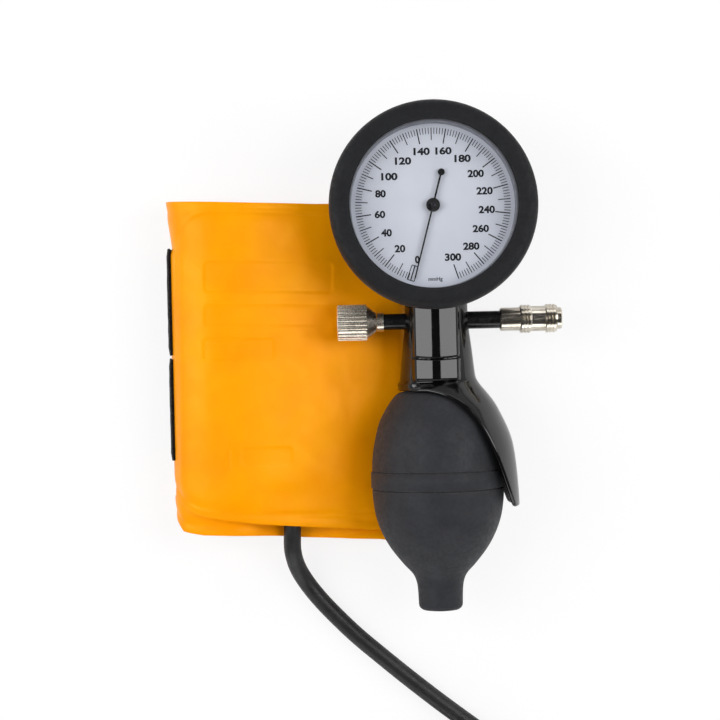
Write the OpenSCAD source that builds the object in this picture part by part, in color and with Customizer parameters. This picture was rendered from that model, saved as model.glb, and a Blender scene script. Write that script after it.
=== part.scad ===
/* [Gauge] */
// Outer diameter of the rubber shock ring
ring_d = 75.2; // [74:0.1:77]
// Diameter of the opening that shows the dial
lip_d = 60.3; // [58:0.1:61]
// Height of the ring's front face above the table
ring_front_z = 45; // [44.6:0.1:46]
// Height of the ring's back edge above the table
ring_back_z = 28; // [27.8:0.1:30]
// Outer diameter of the gauge case
case_d = 65.6; // [65:0.1:65.8]
// Height of the case's back above the table
case_back_z = 13; // [12.8:0.1:13]
// Thickness of the dial plate
dial_t = 0.8; // [0.5:0.1:1]
// Thickness of the lens
lens_t = 1.5; // [1:0.1:1.6]
// Length of the pointer from its axis to its tip
pointer_reach = 28; // [26:0.1:28.5]

/* [Movement] */
// Module of the pinion and sector teeth
gear_module = 0.3; // [0.28:0.01:0.3]
// Teeth cut on the sector
sector_teeth = 13; // [11:2:13]
// Diameter of the pressure capsule
capsule_d = 42; // [36:1:42]
// Turns in the hairspring
hairspring_turns = 3; // [2:1:4]

/* [Hand piece] */
// Distance of the hand piece's centre line from the origin
unit_x = 26.2; // [26.2:0.1:26.6]
// Place of the cross line through valve and coupling
port_y = 13.45; // [13:0.05:14]
// Half the width of the raised column in front of the neck
column_r = 8.5; // [8:0.1:9]
// Wall of the spoon guard
spoon_wall = 1.8; // [1.5:0.1:1.8]

/* [Bulb] */
// Largest radius of the bulb, on its raised band
band_r = 24.5; // [24.4:0.05:24.5]
// Wall of the rubber bulb
bulb_wall = 2.8; // [2.4:0.1:3]

/* [Release valve and coupling] */
// Diameter of the valve knob over its flutes
knob_d = 13.2; // [12.6:0.1:13.6]
// Number of flutes round the knob
flutes = 28; // [24:2:30]
// Diameter of the coupling's socket
socket_d = 5.2; // [5.2:0.1:5.3]
// Diameter of the coupling's grooved bands
sleeve_band_d = 10.5; // [10.2:0.1:10.8]

/* [Cuff and tube] */
// Width of the cuff along the arm
cuff_width = 118; // [112:1:120]
// Thickness of the two welded sheets
cuff_t = 1.8; // [1.6:0.1:1.8]
// Thickness of the hook and loop strips
strip_t = 1.2; // [1:0.1:1.2]
// Outer diameter of the cuff's tube
tube_d = 6.5; // [6.3:0.1:6.6]
// Distance between the turns of the coiled tube
coil_pitch = 7; // [7:0.1:7.4]

/* [Hidden] */
$fn = 64;
gap = 0.05;
axis_z = 24.5;
gauge_y = 54.95;
pinion_teeth = 10;
sector_full_teeth = 90;
pointer_sweep = 324;
sector_turn = pointer_sweep * pinion_teeth / sector_full_teeth;
ring_r = ring_d / 2;
case_r = case_d / 2;
floor_z = 14.5;
dial_z = 35.2;
case_rim_z = 43.1;
spacer_top_z = 41.4;
plate_z = 25.8;
plate_t = 1.2;
plate_top_z = plate_z + plate_t;
bridge_z = 31.6;
bridge_t = 1;
pillar_ring_r = 23.3;
pillar_angles = [30, 150, 250];
pinion_pitch_r = gear_module * pinion_teeth / 2;
sector_pitch_r = gear_module * sector_full_teeth / 2;
gear_distance = pinion_pitch_r + sector_pitch_r;
sector_side = 7.35;
sector_at = [sqrt(gear_distance * gear_distance - sector_side * sector_side), sector_side];
mesh_angle = atan2(sector_at[1], sector_at[0]);
tail_pin_r = 1.85;
rocker_y = 6.4;
rocker_z = 24.6;
rocker_swing = 18;
capsule_base_z = 17;
capsule_top_z = 21.2;
pointer_z = 37;
zero_angle = 254.85;
neck_end_y = -11.85;
neck_shift = 0.7;
spoon_shift = 1.6;
joint_line_y = -0.15;
column_z = 31.3;
column_corner_r = 2.7;
column_corner_z = 35.4;
column_round_r = 9.7;
// Half of the raised column's section, from its crest to its foot: [distance from the middle, height]
column_front = concat(
    [[0, 39.8], [0.9, 39.78], [1.9, 39.6], [2.8, 39.3], [4.2, 38.85], [5.6, 38.37]],
    [for (a = [66:-11:0]) [column_r + column_corner_r * (cos(a) - 1),
        column_corner_z + column_corner_r * sin(a)]],
    [[column_r, 27]]);
spool_r = 6.4;
stub_end = 6.5;
knob_r = knob_d / 2;
socket_r = socket_d / 2;
core_r = 4.25;
mouth_x = 46.7;
ball_x = 41.1;
half_sheet = cuff_t / 2;
tube_r = tube_d / 2;

// Middle line of the rolled sheet, seen along the arm, from its outer end on the table inwards
roll_route = [[-8, 2.1], [-22, 2.1], [-38, 2.1], [-52, 2.2], [-61.5, 4], [-68.2, 8.6], [-70.8, 14.4],
    [-68, 20.2], [-61, 23.5], [-52, 24.2], [-40, 22.6], [-28, 19.4], [-16, 15.4], [-6, 12], [1.5, 9.7],
    [6.6, 7.4], [8.3, 4.9], [6.4, 2.6], [2, 2.3], [-5, 4], [-12, 4.15], [-26, 4.15], [-40, 4.15],
    [-52, 4.4], [-60, 6.2], [-66, 10], [-68.2, 14.6], [-65.6, 19.2], [-60, 21.3], [-52, 21.6],
    [-44, 19.6], [-37, 14.6], [-31.5, 10.6], [-25, 9.4], [-12, 9.4], [-5, 8.8], [1, 7.4], [3.7, 6.5],
    [4.4, 5.8], [3.7, 5.1], [1, 4.8], [-5, 6.1], [-12, 6.2], [-26, 6.2], [-40, 6.2], [-50, 6.3]];
// Mouth of the port inside the cuff, where the tube is pushed on, square to the cuff's edge
port_mouth = [-28.2, -58, 14.3];
// Free stretch of the tube, from the port to the coil
tube_route = [[-28.2, -64.5, 14.3], [-28.3, -71, 12.2], [-26.9, -77.5, 8.4],
    [-23.6, -84, 5.2], [-18.4, -91, 3.8], [-12, -98, 3.4], [-5, -104.9, 3.4], [3, -111.9, 3.4],
    [13.5, -120.8, 3.4], [26, -130.9, 3.5], [38.6, -140.5, 3.8]];
coil_at = [29.7, -187.5];
coil_start_r = 43;
coil_z = 4;
coil_rise = 7.6;
coil_start_angle = 51.5;
coil_sweep = 720 + coil_start_angle;
coil_turns_back = coil_sweep - 90;
coil_step = 15;

function unit(v) = v / norm(v);

// Smooth curve through four points, between the middle two
function between(a, b, c, d, t) =
    0.5 * (2 * b + (c - a) * t + (2 * a - 5 * b + 4 * c - d) * t * t + (3 * b - a - 3 * c + d) * t * t * t);

// Smooth curve through a list of points, with a number of steps between each two
function curve(p, steps) = let (last = len(p) - 1) [
    for (i = [0:last - 1], s = [0:steps - 1])
        between(p[max(i - 1, 0)], p[i], p[i + 1], p[min(i + 2, last)], s / steps),
    p[last]];

function heading(path, i) = unit(path[min(i + 1, len(path) - 1)] - path[max(i - 1, 0)]);

// Points round a tube of radius r with n sides at point i of its path
function tube_ring(path, i, r, n) =
    let (t = heading(path, i), side = unit(cross(t, [0, 0, 1])), up = cross(side, t))
    [for (k = [0:n - 1]) path[i] + r * cos(360 * k / n) * side + r * sin(360 * k / n) * up];

// Triangles that join rings of n points
function side_faces(rings, n) = [
    for (i = [0:rings - 2], k = [0:n - 1])
        each [[i * n + k, i * n + (k + 1) % n, (i + 1) * n + k],
            [i * n + (k + 1) % n, (i + 1) * n + (k + 1) % n, (i + 1) * n + k]]];

// The same with both round ends closed
function skin_faces(rings, n) = concat(
    [for (k = [1:n - 2]) [0, k + 1, k]],
    side_faces(rings, n),
    [for (k = [1:n - 2]) [(rings - 1) * n, (rings - 1) * n + k, (rings - 1) * n + k + 1]]);

module swept_tube(path, r, n) {
    points = [for (i = [0:len(path) - 1]) each tube_ring(path, i, r, n)];
    polyhedron(points, skin_faces(len(path), n));
}

// A ring turned from a section of [radius, height] points round the gauge's axis
module turned(section) {
    translate([unit_x, gauge_y, 0])
        rotate_extrude()
            polygon(section);
}

// Moves a piece to the gauge's axis
module at_gauge() {
    translate([unit_x, gauge_y, 0])
        children();
}

// Stands a piece's own z on the hand piece's long axis, which points at the gauge
module along_neck(y) {
    translate([unit_x, y, axis_z])
        rotate([-90, 0, 0])
            children();
}

// Stands a piece's own z on the cross line, pointing right; x counts from the centre line
module along_port(x) {
    translate([unit_x + x, port_y, axis_z])
        rotate([0, 90, 0])
            children();
}

// A body turned round the long axis from [radius, y] points
module turned_neck(section) {
    along_neck(0)
        rotate_extrude()
            polygon(section);
}

module shock_ring() {
    lip_r = lip_d / 2;
    seat_r = case_r + gap;
    edge = curve([[lip_r + 0.6, ring_front_z], [ring_r - 3, ring_front_z - 0.1],
        [ring_r - 0.9, ring_front_z - 1.2], [ring_r, ring_front_z - 4], [ring_r, 35],
        [ring_r - 0.3, 31], [ring_r - 1.2, ring_back_z + 0.4], [ring_r - 2, ring_back_z]], 4);
    outer_edge = [for (p = edge) [min(p[0], ring_r), min(p[1], ring_front_z)]];
    color("dimgray")
        turned(concat(outer_edge, [[seat_r, ring_back_z], [seat_r, case_rim_z + gap],
            [lip_r, case_rim_z + gap], [lip_r, ring_front_z - 0.6]]));
}

module gauge_case() {
    edge_r = 4;
    inner_r = 29.5;
    color("black")
        difference() {
            turned(concat([[0, case_back_z]],
                [for (a = [-90:15:0])
                    [case_r - edge_r + edge_r * cos(a), case_back_z + edge_r + edge_r * sin(a)]],
                [[case_r, case_rim_z], [case_r - 1.6, case_rim_z], [case_r - 1.6, dial_z], [inner_r, dial_z],
                    [inner_r, floor_z + 2], [inner_r - 2, floor_z], [0, floor_z]]));
            along_neck(gauge_y - case_r - 1)
                cylinder(h = 8, r = 3.55);
        }
}

module lens() {
    color("lightcyan", 0.4)
        at_gauge()
            translate([0, 0, spacer_top_z + gap])
                cylinder(h = lens_t, r = case_r - 1.7, $fn = 96);
}

module lens_spacer() {
    color("gainsboro")
        turned([[29.6, dial_z + dial_t], [case_r - 1.7, dial_z + dial_t], [case_r - 1.7, spacer_top_z],
            [29.9, spacer_top_z]]);
}

module dial_plate() {
    color("whitesmoke")
        at_gauge()
            translate([0, 0, dial_z])
                difference() {
                    cylinder(h = dial_t, r = case_r - 1.7, $fn = 96);
                    translate([0, 0, -1])
                        cylinder(h = 3, r = 1.8);
                }
}

module pointer() {
    tail = 12.3;
    disc_r = 1.25;
    color("black")
        at_gauge()
            rotate([0, 0, zero_angle])
                translate([0, 0, pointer_z])
                    difference() {
                        union() {
                            linear_extrude(0.5)
                                polygon([[-tail, -0.35], [pointer_reach - 1, -0.25], [pointer_reach, 0],
                                    [pointer_reach - 1, 0.25], [-tail, 0.35]]);
                            translate([-tail, 0, 0])
                                cylinder(h = 0.5, r = disc_r, $fn = 32);
                            cylinder(h = 0.5, r = 2.2, $fn = 32);
                        }
                        translate([0, 0, -1])
                            cylinder(h = 3, r = 0.8, $fn = 32);
                    }
}

module pointer_hub() {
    color("black")
        at_gauge()
            translate([0, 0, pointer_z + 0.5])
                rotate_extrude($fn = 32)
                    polygon([[0.8, 0], [2.5, 0], [2.5, 0.6], [2, 1], [0.8, 1.1]]);
}

// Outline of one tooth at angle a: root, pitch and tip, each with its own half angle
function tooth(a, root_r, pitch_r, tip_r, root_half, pitch_half, tip_half) = [
    for (p = [[root_r, -root_half], [pitch_r, -pitch_half], [tip_r, -tip_half], [tip_r, tip_half],
        [pitch_r, pitch_half], [root_r, root_half]])
        [p[0] * cos(a + p[1]), p[0] * sin(a + p[1])]];

module pinion_arbor() {
    step = 360 / pinion_teeth;
    outline = [for (k = [0:pinion_teeth - 1])
        each tooth(mesh_angle + k * step, pinion_pitch_r - 0.36, pinion_pitch_r,
            pinion_pitch_r + 0.24, step * 0.27, step * 0.19, step * 0.06)];
    color("goldenrod")
        at_gauge() {
            translate([0, 0, 28.5])
                linear_extrude(1.7)
                    polygon(outline);
            translate([0, 0, 26.1])
                cylinder(h = 1, r = 0.4, $fn = 32);
            translate([0, 0, 27.1])
                cylinder(h = 11.6, r = 0.8, $fn = 32);
        }
}

module sector_gear() {
    step = 360 / sector_full_teeth;
    half = (sector_teeth - 1) / 2;
    side = step * (half + 0.5);
    root_r = sector_pitch_r - 0.34;
    teeth = [for (k = [-half:half])
        each tooth(k * step, root_r, sector_pitch_r, sector_pitch_r + 0.2, step * 0.27, step * 0.2,
            step * 0.09)];
    tail_tip = tail_pin_r + 0.5;
    color("goldenrod")
        at_gauge()
            translate([sector_at[0], sector_at[1], 0])
                rotate([0, 0, 180 + mesh_angle - sector_turn / 2]) {
                    translate([0, 0, 28.8])
                        linear_extrude(1.1)
                            difference() {
                                union() {
                                    polygon(concat([[0, 0], [root_r * cos(side), -root_r * sin(side)]], teeth,
                                        [[root_r * cos(side), root_r * sin(side)]]));
                                    circle(r = 1.3, $fn = 32);
                                }
                                polygon(concat(
                                    [for (a = [-18:6:18]) [11.6 * cos(a), 11.6 * sin(a)]],
                                    [[4.6, 1], [4.6, -1]]));
                            }
                    rotate([0, 0, 180 - mesh_angle])
                        translate([0, 0, 28.8])
                            linear_extrude(1.1)
                                polygon([[0, -0.9], [tail_tip, -0.5], [tail_tip, 0.5], [0, 0.9]]);
                    rotate([0, 0, 180 - mesh_angle])
                        translate([tail_pin_r, 0, 27.4])
                            cylinder(h = 2, r = 0.3, $fn = 24);
                    translate([0, 0, 26])
                        cylinder(h = 6.4, r = 0.5, $fn = 32);
                }
}

module hairspring() {
    steps = hairspring_turns * 16;
    inner_r = 1.3;
    outer_r = 5;
    ribbon = 0.09;
    function spiral(side) = [for (i = [0:steps])
        let (a = i * 22.5, r = inner_r + (outer_r - inner_r) * i / steps + side * ribbon)
        [r * cos(a), r * sin(a)]];
    outer = spiral(1);
    color("silver")
        at_gauge() {
            translate([0, 0, 27.5])
                linear_extrude(0.6)
                    polygon(concat(spiral(-1), [for (i = [steps:-1:0]) outer[i]]));
            translate([outer_r, 0, plate_top_z])
                cylinder(h = 1.2, r = 0.5, $fn = 24);
        }
}

module movement_plate() {
    color("khaki")
        at_gauge()
            difference() {
                translate([0, 0, plate_z])
                    cylinder(h = plate_t, r = 25.5);
                translate([0, 0, plate_z - 1]) {
                    cylinder(h = 4, r = 0.45, $fn = 32);
                    translate([sector_at[0], sector_at[1], 0])
                        cylinder(h = 4, r = 0.55, $fn = 32);
                    translate([14, 4.9, 0])
                        cube([1.8, 3, 4]);
                    for (a = pillar_angles)
                        rotate([0, 0, a])
                            translate([pillar_ring_r, 0, 0])
                                cylinder(h = 4, r = 1.1, $fn = 32);
                    translate([-14, 0, 0])
                        cylinder(h = 4, r = 5);
                }
            }
}

post_places = [[17, 12.9], [16.5, -1.5], [-8, -1]];

module movement_bridge() {
    color("khaki")
        at_gauge()
            difference() {
                translate([0, 0, bridge_z])
                    linear_extrude(bridge_t)
                        hull()
                            for (p = post_places)
                                translate(p)
                                    circle(r = 2.6, $fn = 32);
                translate([0, 0, bridge_z - 1]) {
                    cylinder(h = 4, r = 0.85, $fn = 32);
                    translate([sector_at[0], sector_at[1], 0])
                        cylinder(h = 4, r = 0.55, $fn = 32);
                }
            }
}

module movement_pillars() {
    color("khaki")
        at_gauge()
            for (a = pillar_angles)
                rotate([0, 0, a])
                    translate([pillar_ring_r, 0, floor_z])
                        difference() {
                            cylinder(h = plate_z - floor_z, r = 1.8, $fn = 32);
                            translate([0, 0, 6])
                                cylinder(h = 10, r = 1.05, $fn = 32);
                        }
}

module movement_posts() {
    color("khaki")
        at_gauge()
            for (p = post_places)
                translate([p[0], p[1], plate_top_z])
                    cylinder(h = bridge_z - plate_top_z, r = 1.3, $fn = 32);
}

module movement_screws() {
    color("silver")
        at_gauge()
            for (a = pillar_angles)
                rotate([0, 0, a])
                    translate([pillar_ring_r, 0, 0])
                        difference() {
                            union() {
                                translate([0, 0, 21])
                                    cylinder(h = 6, r = 1, $fn = 32);
                                translate([0, 0, plate_top_z])
                                    cylinder(h = 1.1, r = 1.9, $fn = 32);
                            }
                            translate([-3, -0.25, plate_top_z + 0.6])
                                cube([6, 0.5, 2]);
                        }
}

lug_places = [-3, 16.6];

module rocker_lugs() {
    color("khaki")
        at_gauge()
            for (x = lug_places)
                translate([x, rocker_y, rocker_z])
                    difference() {
                        translate([0, -1.5, -1.2])
                            cube([1.6, 3, plate_z - rocker_z + 1.2]);
                        translate([-1, 0, 0])
                            rotate([0, 90, 0])
                                cylinder(h = 4, r = 0.86, $fn = 32);
                    }
}

module rocker_lever() {
    color("silver")
        at_gauge()
            translate([0, rocker_y, rocker_z]) {
                translate([-3, 0, 0])
                    rotate([0, 90, 0])
                        cylinder(h = 21.2, r = 0.8, $fn = 32);
                rotate([rocker_swing, 0, 0])
                    translate([-0.6, -rocker_y - 0.9, -0.4])
                        cube([1.2, rocker_y + 0.9, 0.8]);
                rotate([rocker_swing / 2, 0, 0])
                    translate([14.3, -0.45, 0])
                        cube([1.2, 0.9, 4]);
            }
}

module capsule() {
    rim_r = capsule_d / 2;
    wave = 0.3;
    skin = 0.25;
    function leaf(z, r_from, r_to) = [for (r = [r_from:(r_to - r_from) / 14:r_to + 0.01])
        [r, z + wave * cos(r * 360 / 5)]];
    function back(p) = [for (i = [len(p) - 1:-1:0]) p[i]];
    flat_r = 3;
    last_r = rim_r - 1.5;
    color("darkgoldenrod")
        turned(concat([[0, capsule_base_z], [flat_r, capsule_base_z]],
            leaf(capsule_base_z + 0.9, flat_r + 1, last_r),
            [[rim_r, 18.8], [rim_r, 19.4]], back(leaf(capsule_top_z - 0.9, flat_r + 1, last_r)),
            [[flat_r, capsule_top_z], [0, capsule_top_z], [0, capsule_top_z - skin],
                [flat_r, capsule_top_z - skin]],
            leaf(capsule_top_z - 0.9 - skin, flat_r + 1, last_r), [[rim_r - 0.6, 19.2], [rim_r - 0.6, 19]],
            back(leaf(capsule_base_z + 0.9 + skin, flat_r + 1, last_r)),
            [[flat_r, capsule_base_z + skin], [0, capsule_base_z + skin]]));
}

module capsule_stud() {
    color("goldenrod")
        at_gauge()
            translate([0, 0, floor_z])
                difference() {
                    cylinder(h = capsule_base_z - floor_z, r = 3);
                    translate([0, 0, 1])
                        cylinder(h = 4, r = 0.6, $fn = 32);
                    translate([0, 0, 1.1])
                        rotate([90, 0, 0])
                            cylinder(h = 5, r = 0.9, $fn = 32);
                }
}

module capsule_pusher() {
    color("silver")
        at_gauge()
            translate([0, 0, capsule_top_z]) {
                cylinder(h = 0.3, r = 2.5, $fn = 32);
                cylinder(h = 0.65, r = 0.5, $fn = 24);
            }
}

module feed_pipe() {
    pipe_r = 0.8;
    low = [0, -26.8, floor_z + 1.1];
    high_z = 22.4;
    color("goldenrod")
        at_gauge() {
            translate(low)
                rotate([-90, 0, 0])
                    cylinder(h = 24.2, r = pipe_r, $fn = 24);
            translate(low)
                cylinder(h = high_z - low[2], r = pipe_r, $fn = 24);
            translate(low)
                sphere(r = pipe_r, $fn = 24);
        }
}

module gauge_stem() {
    color("goldenrod")
        difference() {
            union() {
                along_neck(14.8)
                    cylinder(h = 12, r = 3.5);
                along_neck(gauge_y - case_r + 3.6)
                    cylinder(h = 2.4, r = 4.6, $fn = 6);
            }
            along_neck(14)
                cylinder(h = 12, r = 1.2);
            translate([unit_x, gauge_y - 26.8, 20])
                cylinder(h = 4.5, r = 0.85, $fn = 24);
        }
}

// Section of the neck: radius against y, from the gauge down to the collar's rim
neck_section = concat([[0, 26], [11.55, 26]],
    curve([[11.55, 16.4], [11.9, 10], [12.75, 3], [13.5, -4], [13.8, -6.6], [14.1, -8.3], [14.7, -9.5]], 3),
    [[14.75, -10.3], [14.4, -11.1], [13.7, neck_end_y], [0, neck_end_y]]);

// The neck is a little fuller on the side of the spoon guard
module neck_shell() {
    translate([neck_shift, 0, 0])
        turned_neck(neck_section);
}

// Keeps the room of the gauge head clear, with a little air
module gauge_room() {
    at_gauge() {
        translate([0, 0, 5])
            cylinder(h = 50, r = case_r + gap);
        translate([0, 0, ring_back_z - 0.1])
            cylinder(h = 30, r = ring_r + 0.1);
    }
}

// The raised column in front of the neck, from y_low upwards, with a rounded lower end
module column(y_low, y_high, round_end) {
    last = len(column_front) - 1;
    intersection() {
        translate([unit_x, y_high, 0])
            rotate([90, 0, 0])
                linear_extrude(y_high - y_low)
                    polygon(concat(column_front,
                        [for (i = [last:-1:1]) [-column_front[i][0], column_front[i][1]]]));
        translate([unit_x, y_low, column_z])
            rotate([-90, 0, 0])
                rotate_extrude()
                    polygon(concat([[0, 0]],
                        [for (a = [-90:18:0]) [column_round_r - round_end + round_end * cos(a),
                            round_end + round_end * sin(a)]],
                        [[column_round_r, y_high - y_low], [0, y_high - y_low]]));
    }
}

module gauge_saddle() {
    color("black")
        difference() {
            column(joint_line_y + 0.3, 21, 0.4);
            neck_shell();
            gauge_room();
        }
}

// Outline of the spoon guard's outside, round its own axis: radius against y
spoon_outside = curve([[11.9, -5.4], [13.3, -8.5], [15.8, -11.65], [18.2, -14.65], [20.1, -17.4],
    [21.7, -20.45], [24.4, -26.35], [26.2, -32.15], [27.3, -40.45], [27.9, -48.65], [28.1, -54.8]], 2);

// Each point of an outline moved inwards by the wall
function inside_of(p, wall) = [for (i = [0:len(p) - 1])
    let (t = unit(p[min(i + 1, len(p) - 1)] - p[max(i - 1, 0)])) p[i] + wall * [t[1], -t[0]]];

// Front edge of the spoon, seen from the front, from the collar's left rim to the tip
rim_edge = [for (s = [0:0.05:1]) let (u = 1 - s)
    u * u * u * [-15.2, -11.1] + 3 * u * u * s * [11.2, -11.2] + 3 * u * s * s * [16.2, -20]
        + s * s * s * [27.5, -54.7]];

module spoon_guard() {
    inner = inside_of(spoon_outside, spoon_wall);
    last = len(inner) - 1;
    intersection() {
        translate([spoon_shift, 0, 0])
            turned_neck(concat(spoon_outside, [for (i = [last:-1:0]) inner[i]]));
        translate([unit_x, 0, -10])
            linear_extrude(80)
                polygon(concat(rim_edge, [[31, -54.8], [31, 0], [-15.2, 0]]));
    }
}

module grip_body() {
    color("black")
        difference() {
            union() {
                neck_shell();
                column(-8.6, joint_line_y, 2.5);
                spoon_guard();
            }
            gauge_room();
            along_neck(-0.6)
                cylinder(h = 30, r = spool_r + gap);
            along_neck(-12)
                cylinder(h = 12, r = 9.6);
            along_neck(-12.5)
                cylinder(h = 1.4, r1 = 12.6, r2 = 11.2);
            along_port(-20)
                cylinder(h = 20, r = 3);
            along_port(0)
                cylinder(h = 20, r = 3.25);
        }
}

module air_manifold() {
    color("goldenrod")
        difference() {
            along_neck(-0.5)
                cylinder(h = 20.8, r = spool_r);
            along_neck(-1)
                cylinder(h = 30, r = 1.5, $fn = 32);
            along_neck(14.7)
                cylinder(h = 10, r = 3.55);
            along_neck(-1)
                cylinder(h = 4.6, r = 4.55);
            along_port(-8)
                cylinder(h = 16, r = 1.5, $fn = 32);
            gauge_room();
        }
}

module bulb_nozzle() {
    color("silver")
        difference() {
            turned_neck([[0, -20], [4.6, -20], [5.3, -17.4], [4.8, -17.4], [5.4, -14.4], [4.9, -14.4],
                [5.4, -11.4], [5.4, -2.4], [6.2, -2.4], [6.2, -0.6], [4.5, -0.6], [4.5, 3.5], [0, 3.5]]);
            along_neck(-21)
                cylinder(h = 30, r = 1.6, $fn = 32);
            along_neck(-1.2)
                cylinder(h = 2.4, r = 3.2);
        }
}

module outlet_flap() {
    color("dimgray")
        along_neck(-1.15)
            cylinder(h = 0.8, r = 2.9);
}

bulb_outside = concat([[5.45, -2.5], [9.4, -2.5], [9.4, -11.2]],
    curve([[11.4, -12.2], [14.4, -13.2], [17.5, -16.95], [20.8, -22.85], [22.5, -28.65], [23.6, -34.55],
        [24.15, -41.5], [24.2, -46.5], [23.9, -52.15], [23, -57.95], [21, -63.85], [17.8, -69.75],
        [13.3, -75.55], [10, -79.2], [8.6, -82.4], [8.15, -86.4]], 2),
    [[8.1, -90.6], [7.7, -91.8], [6.8, -92.55]]);
bulb_cavity = curve([[5.5, -16], [13, -18.4], [18, -24], [20.3, -32], [21.2, -40], [21.3, -48],
    [20.4, -57], [17.6, -64.5], [12.6, -71], [7.4, -76.2], [5.3, -80]], 3);

module bulb() {
    last = len(bulb_cavity) - 1;
    thin = bulb_wall - 2.8;
    color("darkslategray") {
        turned_neck(concat(bulb_outside, [[5.3, -92.55]],
            [for (i = [last:-1:0]) [bulb_cavity[i][0] - thin, bulb_cavity[i][1]]], [[5.45, -14]]));
        turned_neck([[24, -41.3], [band_r - 0.15, -41.7], [band_r, -42.3], [band_r, -46.9],
            [band_r - 0.15, -47.5], [24, -47.9]]);
    }
}

module intake_body() {
    color("silver")
        difference() {
            turned_neck([[0, -91.4], [5.2, -91.4], [5.2, -81], [4.4, -81], [4.4, -79.4], [0, -79.4]]);
            along_neck(-95)
                cylinder(h = 30, r = 1.3, $fn = 32);
            along_neck(-84.9)
                cylinder(h = 2.4, r = 3.2);
        }
}

module intake_disc() {
    color("dimgray")
        along_neck(-84.85)
            cylinder(h = 0.8, r = 2.9);
}

module intake_filter() {
    color("lightgray")
        along_neck(-92)
            difference() {
                cylinder(h = 0.55, r = 5.2);
                for (a = [0:60:300])
                    rotate([0, 0, a])
                        translate([2.6, 0, -1])
                            cylinder(h = 3, r = 0.6, $fn = 16);
            }
}

module valve_stub() {
    color("black")
        along_port(-18.7)
            difference() {
                cylinder(h = 18.7 - stub_end, r = 2.95);
                translate([0, 0, -1])
                    cylinder(h = 20, r = 1.45, $fn = 32);
            }
}

module valve_collar() {
    color("silver")
        along_port(-21)
            difference() {
                cylinder(h = 2.3, r = 3.5);
                translate([0, 0, -1])
                    cylinder(h = 5, r = 1.45, $fn = 32);
                translate([0, 0, 1.4])
                    cylinder(h = 2, r = 2.35, $fn = 32);
            }
}

module valve_knob() {
    left = -35.7;
    drum = 10.6;
    long = 14.4;
    color("silver")
        along_port(left)
            difference() {
                rotate_extrude()
                    polygon([[0, 0], [knob_r - 0.5, 0], [knob_r, 0.5], [knob_r, drum],
                        [knob_r - 0.6, drum + 0.6], [3.9, long - 0.6], [3.4, long], [0, long]]);
                for (k = [0:flutes - 1])
                    rotate([0, 0, k * 360 / flutes])
                        translate([knob_r + 0.25, 0, -1])
                            cylinder(h = long + 2, r = 0.62, $fn = 16);
                translate([0, 0, -1])
                    cylinder(h = 1.4, r = knob_r - 2.2);
                translate([0, 0, 6])
                    cylinder(h = 20, r = 1.3, $fn = 32);
            }
}

module valve_needle() {
    color("silver")
        along_port(-29.6)
            rotate_extrude($fn = 32)
                polygon([[0, 0], [1.25, 0], [1.25, 8.5], [1.4, 8.8], [1.4, 21.4], [0.5, 23.4], [0, 23.4]]);
}

module valve_seal() {
    color("dimgray")
        along_port(-19.15)
            rotate_extrude($fn = 32)
                translate([1.9, 0])
                    circle(r = 0.42, $fn = 16);
}

module hose_stub() {
    color("black")
        along_port(stub_end)
            difference() {
                cylinder(h = 24.1 - stub_end, r = 3.2);
                translate([0, 0, -1])
                    cylinder(h = 30, r = 1.5, $fn = 32);
            }
}

module coupling_body() {
    color("silver")
        difference() {
            along_port(0)
                rotate_extrude()
                    polygon([[0, 24.1], [3.9, 24.1], [core_r, 24.5], [core_r, 31.8], [3.3, 31.8], [3.3, 36.2],
                        [core_r, 36.2], [core_r, 44.9], [3.95, 45], [3.95, 46.4], [3.6, mouth_x],
                        [0, mouth_x]]);
            along_port(mouth_x - 8)
                cylinder(h = 9, r = socket_r);
            along_port(mouth_x - 9.8)
                cylinder(h = 1.8, r = socket_r + 0.4);
            along_port(20)
                cylinder(h = 20, r = 1.5, $fn = 32);
            for (a = [0:90:270])
                along_port(ball_x)
                    rotate([0, 0, a])
                        rotate([0, 90, 0])
                            cylinder(h = 6, r = 0.85, $fn = 24);
        }
}

module coupling_sleeve() {
    band_r2 = sleeve_band_d / 2;
    neck_r2 = 4.6;
    function grooves(from, count, r) = [for (k = [0:count - 1]) each
        [[r, from + k * 1.2], [r, from + k * 1.2 + 0.7], [r - 0.35, from + k * 1.2 + 0.85],
            [r - 0.35, from + k * 1.2 + 1.05]]];
    color("silver")
        along_port(0)
            rotate_extrude()
                polygon(concat([[core_r + 0.08, 31.4], [band_r2 - 0.5, 31.4]],
                    grooves(31.8, 3, band_r2 - 0.1), [[neck_r2, 35.6], [neck_r2, 40.6]],
                    grooves(41, 3, band_r2), [[band_r2 - 0.5, 44.9], [core_r + 0.08, 44.9]]));
}

// Helix points of the coupling's spring round the cross line
function spring_path(turns, radius, from, to) = [for (i = [0:turns * 12])
    let (a = i * 30, s = i / (turns * 12))
    [from + (to - from) * s, radius * cos(a), radius * sin(a)]];

module coupling_spring() {
    path = spring_path(5, 3.78, 32.3, 35.7);
    sides = 6;
    wire = 0.3;
    points = [for (i = [0:len(path) - 1])
        let (t = heading(path, i), out = unit([0, path[i][1], path[i][2]]), up = cross(t, out))
        each [for (k = [0:sides - 1])
            path[i] + wire * cos(60 * k) * out + wire * sin(60 * k) * up]];
    color("silver")
        translate([unit_x, port_y, axis_z])
            polyhedron(points, skin_faces(len(path), sides));
}

module coupling_balls() {
    color("silver")
        for (a = [0:90:270])
            along_port(ball_x)
                rotate([0, 0, a])
                    translate([3.46, 0, 0])
                        sphere(r = 0.8, $fn = 24);
}

module coupling_seal() {
    color("dimgray")
        along_port(mouth_x - 9)
            rotate_extrude($fn = 32)
                translate([2.4, 0])
                    circle(r = 0.55, $fn = 16);
}

roll = curve(roll_route, 2);

// Outward direction of the rolled sheet at point i, as [x, z]
function outward(i) = let (t = heading(roll, i)) [-t[1], t[0]];

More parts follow.
